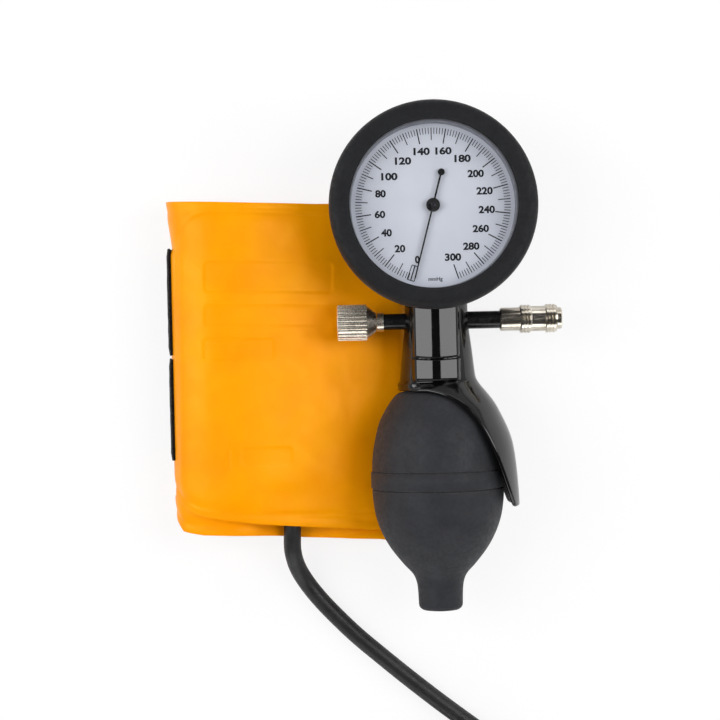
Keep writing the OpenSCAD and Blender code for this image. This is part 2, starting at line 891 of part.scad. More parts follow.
// Middle of the sheet's width: the roll runs a little askew
function roll_y(i) = 0.4 - 10 * i / (len(roll) - 1);

// Section across the sheet: [place across the width, height from the middle line]
sheet_edge = cuff_width / 2;
weld_t = cuff_t / 2 - 0.4;
sheet_section = [[-sheet_edge, -weld_t], [-sheet_edge + 4, -weld_t], [-sheet_edge + 6, -half_sheet],
    [sheet_edge - 6, -half_sheet], [sheet_edge - 4, -weld_t], [sheet_edge, -weld_t],
    [sheet_edge, weld_t], [sheet_edge - 4, weld_t], [sheet_edge - 6, half_sheet],
    [-sheet_edge + 6, half_sheet], [-sheet_edge + 4, weld_t], [-sheet_edge, weld_t]];

module cuff() {
    n = len(sheet_section);
    points = [for (i = [0:len(roll) - 1]) let (out = outward(i))
        for (p = sheet_section)
            [roll[i][0] + out[0] * p[1], roll_y(i) + p[0], roll[i][1] + out[1] * p[1]]];
    first = 0;
    last = (len(roll) - 1) * n;
    ends = concat(
        [for (k = [0:n / 2 - 2]) each [[first + k, first + n - 1 - k, first + k + 1],
            [first + k + 1, first + n - 1 - k, first + n - 2 - k]]],
        [for (k = [0:n / 2 - 2]) each [[last + k, last + k + 1, last + n - 1 - k],
            [last + k + 1, last + n - 2 - k, last + n - 1 - k]]]);
    color("orange")
        polyhedron(points, concat(side_faces(len(roll), n), ends));
}

// A point that lies no lower than the table
function on_table(p) = [p[0], max(p[1], 0)];

// Band of the roll between points i and j, from one height over the middle line to another
function roll_band(i, j, low, high) = concat(
    [for (k = [i:j]) roll[k] + low * outward(k)],
    [for (k = [j:-1:i]) on_table(roll[k] + high * outward(k))]);

// A strip on the sheet, from y_low over a width
module roll_strip(i, j, low, high, y_low, width) {
    translate([0, y_low + width, 0])
        rotate([90, 0, 0])
            linear_extrude(width)
                polygon(roll_band(i, j, low, high));
}

module loop_strips() {
    color("black") {
        roll_strip(2, 14, half_sheet, half_sheet + strip_t, 0, 40);
        roll_strip(2, 14, half_sheet, half_sheet + strip_t, -39.4, 38.6);
    }
}

module hook_strips() {
    first = len(roll) - 7;
    last = len(roll) - 2;
    color("black") {
        roll_strip(first, last, -half_sheet, -half_sheet - strip_t, -4, 38);
        roll_strip(first, last, -half_sheet, -half_sheet - strip_t, -45, 38);
    }
}

module tube_port() {
    color("dimgray")
        translate(port_mouth)
            rotate([90, 0, 0])
                rotate_extrude($fn = 32)
                    polygon([[0, -16], [1.6, -16], [2.6, -10], [3.4, -8], [3.6, -1], [3.4, 0], [0, 0]]);
}

// Radius of the coil at angle a: it closes in, then opens again after the reversal
function coil_radius(a) = coil_start_r - coil_pitch * min(a, coil_turns_back) / 360
    + coil_pitch * max(a - coil_turns_back, 0) / 360;

// Height of the coil at angle a: it climbs one layer in the half turn round the reversal
function coil_height(a) =
    let (s = max(0, min(1, (a - coil_turns_back + 90) / 180)))
    coil_z + coil_rise * s * s * (3 - 2 * s);

function coil_point(a) = [coil_at[0] + coil_radius(a) * cos(coil_start_angle - a),
    coil_at[1] + coil_radius(a) * sin(coil_start_angle - a), coil_height(a)];

coil_lead_way = unit(coil_point(1) - coil_point(0));
coil_loops = [for (a = [0:coil_step:coil_sweep]) coil_point(a)];
coil_end = coil_point(coil_sweep);
coil_path = concat([coil_point(0) - tube_d * coil_lead_way], coil_loops,
    [coil_end, coil_end - [0, tube_d, 0]]);
coil_last = coil_path[len(coil_path) - 1];
tube_path = concat([port_mouth], curve(tube_route, 2), [coil_path[0] - 6 * coil_lead_way, coil_path[0]]);

module cuff_tube() {
    color("dimgray")
        swept_tube(tube_path, tube_r, 10);
}

module tube_coil() {
    color("dimgray")
        swept_tube(coil_path, tube_r, 6);
}

// Least distance between turns of the coil, less the tube's own thickness
coil_gap = min([for (i = [0:len(coil_path) - 1], j = [0:len(coil_path) - 1])
    if (j > i + 8) norm(coil_path[i] - coil_path[j])]) - tube_d;

function path_length(p) = len(p) < 2 ? 0 : sum_steps(p, len(p) - 1);
function sum_steps(p, i) = i < 1 ? 0 : norm(p[i] - p[i - 1]) + sum_steps(p, i - 1);

module coil_tie() {
    inside_w = coil_pitch + tube_d + 1.2;
    inside_h = tube_d + 0.3;
    thick = 0.6;
    centre_r = coil_start_r - coil_pitch * 1.25 + 0.6;
    color("black")
        translate([coil_at[0] - centre_r, coil_at[1], coil_z])
            rotate([90, 0, 0])
                translate([0, 0, -5])
                    linear_extrude(10)
                        difference() {
                            rounded_band(inside_w + 2 * thick, inside_h + 2 * thick, 2.6);
                            rounded_band(inside_w, inside_h, 2);
                        }
}

// A flat loop seen from its open side, with round corners
module rounded_band(w, h, r) {
    square([w - 2 * r, h], center = true);
    square([w, h - 2 * r], center = true);
    for (x = [-1, 1], y = [-1, 1])
        translate([x * (w / 2 - r), y * (h / 2 - r)])
            circle(r = r, $fn = 32);
}

module tube_plug() {
    color("silver")
        translate(coil_last)
            rotate([90, 0, 0])
                rotate_extrude($fn = 48)
                    polygon([[0, 0], [3.7, 0], [4, 0.4], [4, 3.6], [3.5, 4], [3.5, 5], [4, 5.4], [4, 7.6],
                        [3.6, 8.2], [2.5, 8.2], [2.5, 9.4], [2.1, 9.6], [2.1, 10.6], [2.5, 10.8],
                        [2.5, 16], [0, 16]]);
}

union() {
    echo(coil_gap = coil_gap);
    echo(tube_length = path_length(tube_path) + path_length(coil_path));
    echo(cuff_flat_length = path_length(roll));
}
shock_ring();
gauge_case();
lens();
lens_spacer();
dial_plate();
pointer();
pointer_hub();
pinion_arbor();
sector_gear();
hairspring();
movement_plate();
movement_bridge();
movement_pillars();
movement_posts();
movement_screws();
rocker_lugs();
rocker_lever();
capsule();
capsule_stud();
capsule_pusher();
feed_pipe();
gauge_stem();
gauge_saddle();
grip_body();
air_manifold();
bulb_nozzle();
outlet_flap();
bulb();
intake_body();
intake_disc();
intake_filter();
valve_stub();
valve_collar();
valve_knob();
valve_needle();
valve_seal();
hose_stub();
coupling_body();
coupling_sleeve();
coupling_spring();
coupling_balls();
coupling_seal();
cuff();
loop_strips();
hook_strips();
tube_port();
cuff_tube();
tube_coil();
coil_tie();
tube_plug();
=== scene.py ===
import math

import bmesh
import bpy
import numpy as np
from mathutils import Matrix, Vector


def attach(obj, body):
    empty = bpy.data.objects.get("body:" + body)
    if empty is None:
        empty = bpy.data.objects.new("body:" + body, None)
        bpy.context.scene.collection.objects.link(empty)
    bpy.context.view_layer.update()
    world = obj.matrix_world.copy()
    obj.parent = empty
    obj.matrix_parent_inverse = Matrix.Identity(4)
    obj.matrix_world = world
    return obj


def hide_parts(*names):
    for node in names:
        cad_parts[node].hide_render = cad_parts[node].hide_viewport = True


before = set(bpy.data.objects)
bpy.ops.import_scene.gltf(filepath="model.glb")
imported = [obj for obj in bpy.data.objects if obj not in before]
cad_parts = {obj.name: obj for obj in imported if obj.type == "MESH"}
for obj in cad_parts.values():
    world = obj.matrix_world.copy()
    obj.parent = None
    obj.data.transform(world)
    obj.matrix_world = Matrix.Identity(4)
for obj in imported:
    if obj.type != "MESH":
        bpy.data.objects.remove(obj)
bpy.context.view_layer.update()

# Camera. The photograph looks straight down at the table from about 665 mm, left of the hand piece, and is
# turned so that the hand piece leans a little.
lean = math.radians(1.35)
camera = bpy.data.objects.new("camera", bpy.data.cameras.new("camera"))
bpy.context.scene.collection.objects.link(camera)
camera.location = (-0.00145, -0.00028, 0.665)
camera.rotation_euler = (0, 0, -lean)
camera.data.sensor_width = 36
camera.data.lens = 87.08
camera.data.clip_start = 0.01
bpy.context.scene.camera = camera
bpy.context.scene.view_settings.view_transform = "Standard"


# Cuff tube. One extruded black rubber hose of 6.5 mm runs from the port in the cuff, down over the layers
# and along the table, and its spare length lies in a round coil of two turns, ending in the plug.
mm = 0.001
hose_width = 0.0065
coil_middle, coil_radius, coil_pitch = (29.7, -187.5), 43, 7
coil_low, coil_rise = 4, 7.6
coil_start, crossing, coil_turned = 51.5, 681.5, 771.5


def through(points, steps):
    """A smooth line through points, with that many steps to a span."""
    ends = [points[0], *points, points[-1]]
    line = []
    for i in range(len(points) - 1):
        a, b, c, d = (np.array(p, float) for p in ends[i:i + 4])
        for t in np.arange(steps) / steps:
            bend = (2 * a - 5 * b + 4 * c - d) * t * t + (3 * b - a - 3 * c + d) * t ** 3
            line.append((2 * b + (c - a) * t + bend) / 2)
    line.append(np.array(points[-1], float))
    return line


def coil_point(angle):
    """Place on the coil in mm, at an angle in degrees from where the coil starts. It winds inwards up to the
    crossing, and there it climbs over the turns below and winds out again."""
    inwards = min(angle, crossing) - max(angle - crossing, 0)
    radius = coil_radius - coil_pitch * inwards / 360
    climb = min(max((angle - crossing + 90) / 180, 0), 1)
    turn = math.radians(coil_start - angle)
    height = coil_low + coil_rise * climb * climb * (3 - 2 * climb)
    x, y = coil_middle
    return np.array([x + radius * math.cos(turn), y + radius * math.sin(turn), height])


port_mouth = [-28.2, -58, 14.3]
tube_route = [[-28.2, -64.5, 14.3], [-28.3, -71, 12.2], [-26.9, -77.5, 8.4], [-23.6, -84, 5.2],
              [-18.4, -91, 3.8], [-12, -98, 3.4], [-5, -104.9, 3.4], [3, -111.9, 3.4],
              [13.5, -120.8, 3.4], [26, -130.9, 3.5], [38.6, -140.5, 3.8]]
lead_way = coil_point(1) - coil_point(0)
lead_way /= np.linalg.norm(lead_way)
straight = 6.5
coil_lead = coil_point(0) - straight * lead_way
coil_end = coil_point(coil_turned)
tube_line = [np.array(port_mouth, float), *through(tube_route, 6), coil_lead - 6 * lead_way, coil_lead,
             *(coil_point(a) for a in np.arange(0, coil_turned, 6)), coil_end, coil_end - [0, straight, 0]]


def colour(red, green, blue):
    """A colour given from 0 to 255, as the shader takes it."""
    return (*((v / 255 / 12.92 if v < 10.3 else ((v / 255 + 0.055) / 1.055) ** 2.4)
              for v in (red, green, blue)), 1)


def surface(name, base, roughness, metallic=0.0, **numbers):
    """A new material; numbers names more of its shader's own values, such as Coat_Weight=0.5."""
    material = bpy.data.materials.new(name)
    material.use_nodes = True
    values = {"Base_Color": base, "Roughness": roughness, "Metallic": metallic, **numbers}
    for socket, value in values.items():
        material.node_tree.nodes["Principled BSDF"].inputs[socket.replace("_", " ")].default_value = value
    return material


def add(material, kind, inputs=None, out=0, **settings):
    """Adds a node with these inputs, which are values or other nodes' outputs, and gives its output."""
    made = material.node_tree.nodes.new("ShaderNode" + kind)
    for key, value in settings.items():
        setattr(made, key, value)
    for socket, value in (inputs or {}).items():
        if isinstance(value, bpy.types.NodeSocket):
            material.node_tree.links.new(value, made.inputs[socket])
        else:
            made.inputs[socket].default_value = value
    return made.outputs[out]


def drive(material, socket, value):
    """Links an output to the shader's own socket."""
    shader = material.node_tree.nodes["Principled BSDF"]
    material.node_tree.links.new(value, shader.inputs[socket])


def patches(material, scale, detail=3.0, stretch=(1, 1, 1)):
    """Random soft patches from 0 to 1, with scale of them to a metre."""
    place = add(material, "TexCoord", out="Object")
    place = add(material, "VectorMath", {0: place, 1: stretch}, operation="MULTIPLY")
    return add(material, "TexNoise", {"Vector": place, "Scale": scale, "Detail": detail})


def between(material, value, low, high, start=0.35, end=0.65):
    """Turns a value from start to end into one from low to high."""
    return add(material, "MapRange", {0: value, 1: start, 2: end, 3: low, 4: high})


def tint(material, share, first, second):
    """A mix of two colours."""
    return add(material, "Mix", {0: share, 6: first, 7: second}, out=2, data_type="RGBA")


def relief(material, height, depth, under=None):
    """Raises the surface by height times depth in metres, on top of another relief."""
    inputs = {"Height": height, "Distance": depth, "Strength": 1.0}
    if under is not None:
        inputs["Normal"] = under
    bump = add(material, "Bump", inputs)
    drive(material, "Normal", bump)
    return bump


def hose_rubber(name, dark, light):
    """Extruded rubber: dull, with a fine grain and a little dust."""
    material = surface(name, light, 0.42, Specular_IOR_Level=0.4)
    drive(material, "Base Color", tint(material, between(material, patches(material, 260), 0, 1), dark, light))
    drive(material, "Roughness", between(material, patches(material, 900, 2), 0.36, 0.52))
    relief(material, patches(material, 2600, 2), 0.00004)
    return material


tube_curve = bpy.data.curves.new("hose", "CURVE")
tube_curve.dimensions = "3D"
tube_curve.bevel_depth = hose_width / 2
tube_curve.bevel_resolution = 7
tube_curve.use_fill_caps = True
run = tube_curve.splines.new("POLY")
run.points.add(len(tube_line) - 1)
for point, spot in zip(run.points, tube_line):
    point.co = (*(spot * mm), 1)
run.use_smooth = True
hose = bpy.data.objects.new("hose", tube_curve)
bpy.context.scene.collection.objects.link(hose)
tube_curve.materials.append(hose_rubber("hose_rubber", colour(20, 20, 21), colour(30, 30, 31)))
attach(hose, "hand_piece_and_cuff")
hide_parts("cuff_tube", "tube_coil")


# Coil tie. A woven black hook-and-loop strap of 10 mm goes once round the coil's two turns, and its free
# end is pressed down on itself.
def solid(name, points, faces, *materials):
    """A new piece with points in mm."""
    mesh = bpy.data.meshes.new(name)
    mesh.from_pydata((np.array(points, float) * mm).tolist(), [], faces)
    for material in materials:
        mesh.materials.append(material)
    made = bpy.data.objects.new(name, mesh)
    bpy.context.scene.collection.objects.link(made)
    return made


def smooth(made, sharp):
    """Makes a piece's faces smooth, with hard edges where two meet at more than sharp degrees."""
    made.data.polygons.foreach_set("use_smooth", [True] * len(made.data.polygons))
    made.data.set_sharp_from_angle(angle=math.radians(sharp))
    return made


def rolled(name, line, across, under, over, materials):
    """A closed sheet along line, a list of (x, z) in mm or one for each place across. across has the places in
    y at each point, and under and over its faces' distances from the line, to the right and left of its way."""
    line, across = np.array(line, float), np.array(across, float)
    if line.ndim == 2:
        line = np.repeat(line[:, None, :], across.shape[1], axis=1)
    rows, columns = across.shape
    step = np.gradient(line, axis=0)
    step /= np.linalg.norm(step, axis=2)[:, :, None]
    out = np.stack([-step[:, :, 1], step[:, :, 0]], 2)
    faces_at = []
    for offset in (over, under):
        offset = np.broadcast_to(np.array(offset, float), across.shape)[:, :, None]
        flat = line + out * offset
        faces_at.append(np.stack([flat[:, :, 0], across, flat[:, :, 1]], 2).reshape(-1, 3))
    count = rows * columns
    faces, kinds = [], []
    for i in range(rows - 1):
        n = i + 1
        for j in range(columns - 1):
            a, b, c, d = i * columns + j, n * columns + j, n * columns + j + 1, i * columns + j + 1
            faces += [(a, b, c, d), (d + count, c + count, b + count, a + count)]
            kinds += [0, 1]
        for j, flip in ((0, True), (columns - 1, False)):
            side = [i * columns + j, n * columns + j, n * columns + j + count, i * columns + j + count]
            faces.append(tuple(side if flip else side[::-1])[::-1])
            kinds.append(1)
    for i, flip in ((0, False), (rows - 1, True)):
        for j in range(columns - 1):
            side = [i * columns + j, i * columns + j + 1, i * columns + j + 1 + count, i * columns + j + count]
            faces.append(tuple(side[::-1] if flip else side)[::-1])
            kinds.append(1)
    made = solid(name, np.concatenate(faces_at), faces, *materials)
    made.data.polygons.foreach_set("material_index", [min(k, len(materials) - 1) for k in kinds])
    return smooth(made, 50)


def woven_strap(name, dark, light, thread):
    """A close woven band: ribs along and across, each thread metres wide. A wave of scale 1 is 0.32 m long."""
    material = surface(name, dark, 0.85, Sheen_Weight=0.3, Sheen_Roughness=0.5)
    place = add(material, "TexCoord", out="Object")
    ribs = [add(material, "TexWave", {"Vector": place, "Scale": 0.32 / thread, "Distortion": 0.4},
                out="Fac", bands_direction=way) for way in ("X", "Y")]
    weave = add(material, "Math", {0: ribs[0], 1: ribs[1]}, operation="MULTIPLY")
    fuzz = patches(material, 1500, 4)
    height = add(material, "Math", {0: weave, 1: fuzz}, operation="ADD")
    drive(material, "Base Color", tint(material, between(material, height, 0, 1, 0.3, 1.3), dark, light))
    relief(material, height, 0.00015)
    return material


tie_x, tie_low, tie_high = -5.15, 0.32, 7.95
tie_route = [[-7.65, 5.6], [-7.65, 2.4], [-5.6, 0.3], [5.6, 0.3], [7.65, 2.4], [7.65, 5.6], [5.6, 7.7],
             [0, 7.75], [-5.6, 7.7], [-7.6, 6.2]]
tie_line = [[x + tie_x, min(max(z, tie_low), tie_high)] for x, z in through(tie_route, 8)]
tie_width = np.linspace(-192.4, -182.6, 12)
strap = rolled("coil_strap", tie_line, np.tile(tie_width, (len(tie_line), 1)), 0.3, -0.3,
               [woven_strap("strap_weave", colour(22, 22, 24), colour(48, 48, 51), 0.0008)])
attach(strap, "hand_piece_and_cuff")
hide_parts("coil_tie")


# Tube plug. A turned brass connector, nickel plated, pushed into the hose's end: a gripping barrel with a
# waist, a groove for the coupling's balls and a smooth nose.
def edges(material, radius):
    """1 along sharp edges and 0 on flat faces, radius metres wide."""
    soft = add(material, "Bevel", {"Radius": radius}, samples=4)
    hard = add(material, "NewGeometry", out="Normal")
    same = add(material, "VectorMath", {0: soft, 1: hard}, out="Value", operation="DOT_PRODUCT")
    return between(material, same, 1, 0, 0.9, 0.995)


def plated(name, tone, dull, roughness, turning=(1, 1, 1), wear=0.0003):
    """Bright metal: fine marks that stretch as the tool turned, dull patches, and edges rubbed bright."""
    material = surface(name, tone, roughness, 1.0)
    cloudy = between(material, patches(material, 220), 0, 1)
    rubbed = tint(material, edges(material, wear), tint(material, cloudy, tone, dull),
                  tuple(min(1, v * 1.15) for v in tone[:3]) + (1,))
    drive(material, "Base Color", rubbed)
    marks = patches(material, 5000, 2, turning)
    drive(material, "Roughness", between(material, marks, roughness * 0.7, roughness * 1.5))
    relief(material, marks, 0.000003)
    return material


def dress(material, *names):
    """Gives CAD nodes a material."""
    for name in names:
        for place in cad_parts[name].material_slots:
            place.material = material


plug_metal = plated("plug_metal", colour(222, 216, 208), colour(190, 182, 172), 0.22, (0.05, 1, 0.05))
dress(plug_metal, "tube_plug")


# Table and light. A white table stands in a tent with pale walls and a dark top. Two soft panels stand left
# and right of it, low wide ones beyond the picture's top and bottom, and a scrim hangs above the camera.
table_half = 3
own_glow = 0.82
table = bpy.data.objects.new("table", bpy.data.meshes.new("table"))
table_corners = [(x * table_half, y * table_half, 0) for x, y in ((-1, -1), (1, -1), (1, 1), (-1, 1))]
table.data.from_pydata(table_corners, [], [(0, 1, 2, 3)])
bpy.context.scene.collection.objects.link(table)
table_white = surface("table_white", colour(247, 247, 247), 0.7, Specular_IOR_Level=0.1)
table.data.materials.append(table_white)
seen = add(table_white, "LightPath", out="Is Camera Ray")
glow = add(table_white, "Emission", {"Color": (1, 1, 1, 1), "Strength": 1.0})
part_glow = add(table_white, "Math", {0: seen, 1: own_glow}, operation="MULTIPLY")
board = table_white.node_tree.nodes["Principled BSDF"].outputs[0]
mixed = add(table_white, "MixShader", {0: part_glow, 1: board, 2: glow})
table_white.node_tree.links.new(mixed, table_white.node_tree.nodes["Material Output"].inputs["Surface"])

world = bpy.data.worlds.new("tent")
bpy.context.scene.world = world
world.use_nodes = True
height_seen = add(world, "SeparateXYZ", {0: add(world, "TexCoord", out="Generated")}, out="Z")
walls = add(world, "MapRange", {0: height_seen, 1: 0.1, 2: 0.65, 3: 0.65, 4: 0.05})
backdrop = add(world, "Mix", {0: add(world, "LightPath", out="Is Camera Ray"), 2: walls, 3: 1.0})
background = world.node_tree.nodes["Background"]
background.inputs["Color"].default_value = (1, 1, 1, 1)
world.node_tree.links.new(backdrop, background.inputs["Strength"])


def panel(name, place, width, height, brightness, mirrored=True):
    """A soft light panel that faces the hand piece, as bright as it looks itself. One that isn't mirrored
    lights the pieces without showing in their shine."""
    lamp = bpy.data.lights.new(name, "AREA")
    lamp.shape = "RECTANGLE"
    lamp.size, lamp.size_y = width, height
    lamp.energy = brightness * math.pi * width * height
    made = bpy.data.objects.new(name, lamp)
    bpy.context.scene.collection.objects.link(made)
    made.location = place
    made.visible_glossy = mirrored
    way = Vector((0, 0, 0.03)) - Vector(place)
    made.rotation_euler = way.to_track_quat("-Z", "Y").to_euler()


panel("panel_left", (-0.60, 0.10, 0.68), 0.46, 0.70, 4.7)
panel("panel_right", (0.60, 0.10, 0.68), 0.46, 0.70, 4.5)
panel("panel_far", (0.0, 0.85, 0.50), 1.2, 0.35, 1.4)
panel("panel_near", (0.0, -0.90, 0.38), 1.2, 0.45, 1.9)
panel("scrim_above", (0.0, 0.02, 1.3), 1.2, 1.2, 0.42, mirrored=False)


# Closure strips. Loop pile tape of 40 mm is welded on the cuff's outside in two lengths, and hook tape on
# the inner end's inside; the pile shows along the left fold, with a ragged edge.
roll_route = [[-8, 2.1], [-22, 2.1], [-38, 2.1], [-52, 2.2], [-61.5, 4], [-68.2, 8.6], [-70.8, 14.4],
              [-68, 20.2], [-61, 23.5], [-52, 24.2], [-40, 22.6], [-28, 19.4], [-16, 15.4], [-6, 12],
              [1.5, 9.7], [6.6, 7.4], [8.3, 4.9], [6.4, 2.6], [2, 2.3], [-5, 4], [-12, 4.15], [-26, 4.15],
              [-40, 4.15], [-52, 4.4], [-60, 6.2], [-66, 10], [-68.2, 14.6], [-65.6, 19.2], [-60, 21.3],
              [-52, 21.6], [-44, 19.6], [-37, 14.6], [-31.5, 10.6], [-25, 9.4], [-12, 9.4], [-5, 8.8],
              [1, 7.4], [3.7, 6.5], [4.4, 5.8], [3.7, 5.1], [1, 4.8], [-5, 6.1], [-12, 6.2], [-26, 6.2],
              [-40, 6.2], [-50, 6.3]]
roll_steps = 8
roll = through(roll_route, roll_steps)


def pile(name, dark, light, grain):
    """Black pile or hooks: a fuzzy or knobbly face with a little sheen, its high tips painted lighter as a
    painted highlight where they catch light.
    """
    material = surface(name, dark, 0.95, Sheen_Weight=0.15, Sheen_Roughness=0.4, Specular_IOR_Level=0.1)
    place = add(material, "TexCoord", out="Object")
    tufts = add(material, "TexVoronoi", {"Vector": place, "Scale": 1 / grain, "Randomness": 0.8})
    fuzz = patches(material, 3200, 4)
    height = add(material, "Math", {0: fuzz, 1: tufts}, operation="SUBTRACT")
    # Painted highlight: the higher tufts get the lighter colour.
    drive(material, "Base Color", tint(material, between(material, height, 0, 1, -0.3, 0.5), dark, light))
    relief(material, height, 0.0004)
    return material


def tape(name, low, high, first, last, near, far, seed, material):
    """A tape from low to high in y and between two stations of the roll, lying near to far off the roll's line,
    with frayed edges."""
    chance = np.random.default_rng(seed)
    line = roll[int(first * roll_steps):int(last * roll_steps) + 1]
    across = np.tile(np.linspace(low, high, 14), (len(line), 1))
    across[:, 0] += chance.uniform(-0.3, 0.4, len(line))
    across[:, -1] += chance.uniform(-0.5, 0.2, len(line))
    depth = np.full(across.shape, far) + np.sign(far) * chance.uniform(-0.16, 0.0, across.shape)
    depth[:, [0, -1]] = far - np.sign(far) * 0.45
    under, over = (near, depth) if far > 0 else (depth, near)
    return rolled(name, line, across, under, over, [material])


loop_pile = pile("loop_pile", colour(9, 9, 10), colour(38, 36, 36), 0.0009)
hook_pile = pile("hook_pile", colour(20, 20, 21), colour(60, 60, 62), 0.0014)
loops = [tape("loop_tape_1", 3.1, 42.8, 1, 6.5, 0.95, 2.1, 3, loop_pile),
         tape("loop_tape_2", -36, 1.8, 1, 6.5, 0.95, 2.1, 5, loop_pile)]
hooks = [tape("hook_tape_1", -3.9, 33.9, 43, 45.5, -0.95, -2.0, 7, hook_pile),
         tape("hook_tape_2", -44.9, -7.1, 43, 45.5, -0.95, -2.0, 9, hook_pile)]
for piece in loops + hooks:
    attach(piece, "hand_piece_and_cuff")
for piece in loops:
    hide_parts("loop_strips")
for piece in hooks:
    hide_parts("hook_strips")


# Arm cuff. Two sheets of orange vinyl are welded together round a flat bladder, with a thin welded border
# and pressed panels on the outside, and the cuff is rolled up in two turns and a bit, a little askew.
def ease(x, start, end):
    """0 before start and 1 after end, smooth between."""
    t = np.clip((x - start) / (end - start), 0, 1)
    return t * t * (3 - 2 * t)


# Where the cuff's two edges lie in y, at stations along the roll.
stations = np.arange(len(roll))[:, None] / roll_steps
low_edge = np.interp(stations, *zip(
    (0, -58.6), (3, -58.4), (4, -56.5), (5, -53), (5.5, -50.5), (6, -48.9), (6.4, -49.1), (7, -52.3),
    (7.5, -55), (8, -56.5), (9, -58.3), (10, -60), (12, -62.4), (14, -64.2), (19, -64.6), (22, -64),
    (24, -62), (25, -59.7), (25.5, -58.2), (26, -57.5), (26.5, -59.5), (27, -62.2), (28, -63.7),
    (30, -64.5), (32, -65.7), (34, -67), (37, -68.6), (40, -68.2), (43, -66), (45, -64.5)))
high_edge = np.interp(stations, *zip(
    (0, 59.4), (6, 60.3), (8, 59.5), (10, 58.7), (12.3, 58.2), (16, 57.9), (19, 56.4), (26, 54.0),
    (33, 51.6), (45, 49.6)))
border = np.array([0, 0.25, 0.8, 1.6, 2.3, 2.7, 3.0, 3.3, 3.8, 4.4, 5.2, 6.2, 7.6, 9.4])
field = np.linspace(0, 1, 46)[1:-1] * (high_edge - low_edge - 2 * border[-1])
across = np.concatenate([low_edge + border, low_edge + border[-1] + field, high_edge - border[::-1]], axis=1)
from_edge = np.minimum(across - low_edge, high_edge - across)
# Half the thickness: a flat border, a groove along its weld, and the padded field inside it.
half = 0.5 + 0.4 * ease(from_edge, 3.4, 7.5)
half -= 0.12 * np.exp(-((from_edge - 3.2) / 0.9) ** 2)
half *= 1 - 0.35 * np.exp(-(from_edge / 0.35) ** 2)
# How far each fold is pushed sideways out of the roll's line.
cuff_line = np.repeat(np.array(roll)[:, None, :], across.shape[1], axis=1)
left_fold = ease(stations, 4.4, 5.6) * (1 - ease(stations, 7.2, 9))
inner_fold = ease(stations, 24.3, 25.6) * (1 - ease(stations, 27, 28.6))
right_fold = ease(stations, 12.8, 14.8) * (1 - ease(stations, 17.2, 19.6))
last_fold = ease(stations, 34.6, 36) * (1 - ease(stations, 40, 42))
cuff_line[:, :, 0] += (left_fold * np.interp(across, [40.5, 43, 60.4], [0, 1.1, -1.4])
                       - 2.5 * inner_fold * ease(-across, 43, 50)
                       + 7.3 * right_fold * ease(across, -30, -13) * (1 - ease(across, 24, 42))
                       + 3.6 * last_fold * ease(-across, 61.5, 67.5))
upper_layer = ease(stations, 6.6, 8.4) * (1 - ease(stations, 13.0, 14.6))
puff = upper_layer * 0.55 * ease(from_edge, 4.5, 22)
# Dents and swellings of the upper layer: place, half sizes, height and turn.
dents = np.zeros(across.shape)
for x, y, wide, high, depth, turn in [
        (-44, 36, 9, 7, 0.55, 0.5), (-30, 41, 7, 5, -0.55, -0.4), (-20, 36, 9, 8, 0.45, 0.3),
        (-56, 20, 8, 16, 0.25, 0.1), (-58, -40, 8, 12, -0.5, 0.3), (-46, -47, 12, 6, 0.5, 0.25),
        (-28, -50, 14, 5, -0.35, 0.1), (-8, -46, 10, 9, 0.35, -0.2), (-14, 8, 12, 20, -0.25, 0.1),
        (-36, -12, 18, 14, 0.18, 0.6), (-10, -20, 8, 14, 0.25, 0.4)]:
    dx, dy = cuff_line[:, :, 0] - x, across - y
    along, beside = dx * math.cos(turn) + dy * math.sin(turn), dy * math.cos(turn) - dx * math.sin(turn)
    dents += depth * np.exp(-(along / wide) ** 2 - (beside / high) ** 2)
dents *= upper_layer * ease(from_edge, 3, 9)


def box_distance(material, place, centre, half_size, corner):
    """Distance in mm from the outline of a box with round corners, below 0 inside."""
    away = add(material, "VectorMath", {0: place, 1: (*centre, 0)}, operation="SUBTRACT")
    away = add(material, "VectorMath", {0: away}, operation="ABSOLUTE")
    inner = (half_size[0] - corner, half_size[1] - corner, 0)
    away = add(material, "VectorMath", {0: away, 1: inner}, operation="SUBTRACT")
    outside = add(material, "VectorMath", {0: away, 1: (0, 0, 0)}, operation="MAXIMUM")
    outside = add(material, "VectorMath", {0: outside}, out="Value", operation="LENGTH")
    parts = add(material, "SeparateXYZ", {0: away}).node.outputs
    inside = add(material, "Math", {0: parts[0], 1: parts[1]}, operation="MAXIMUM")
    inside = add(material, "Math", {0: inside, 1: 0}, operation="MINIMUM")
    both = add(material, "Math", {0: outside, 1: inside}, operation="ADD")
    return add(material, "Math", {0: both, 1: corner}, operation="SUBTRACT")


def press(material, height, distance, wide, depth, line_only):
    """Lowers the height inside an outline, or only along it, and gives the new height and how low it is."""
    if line_only:
        distance = add(material, "Math", {0: distance}, operation="ABSOLUTE")
    share = add(material, "MapRange", {0: distance, 1: 0 if line_only else -wide, 2: wide, 3: depth, 4: 0},
                interpolation_type="SMOOTHSTEP")
    return add(material, "Math", {0: height, 1: share}, operation="SUBTRACT"), share


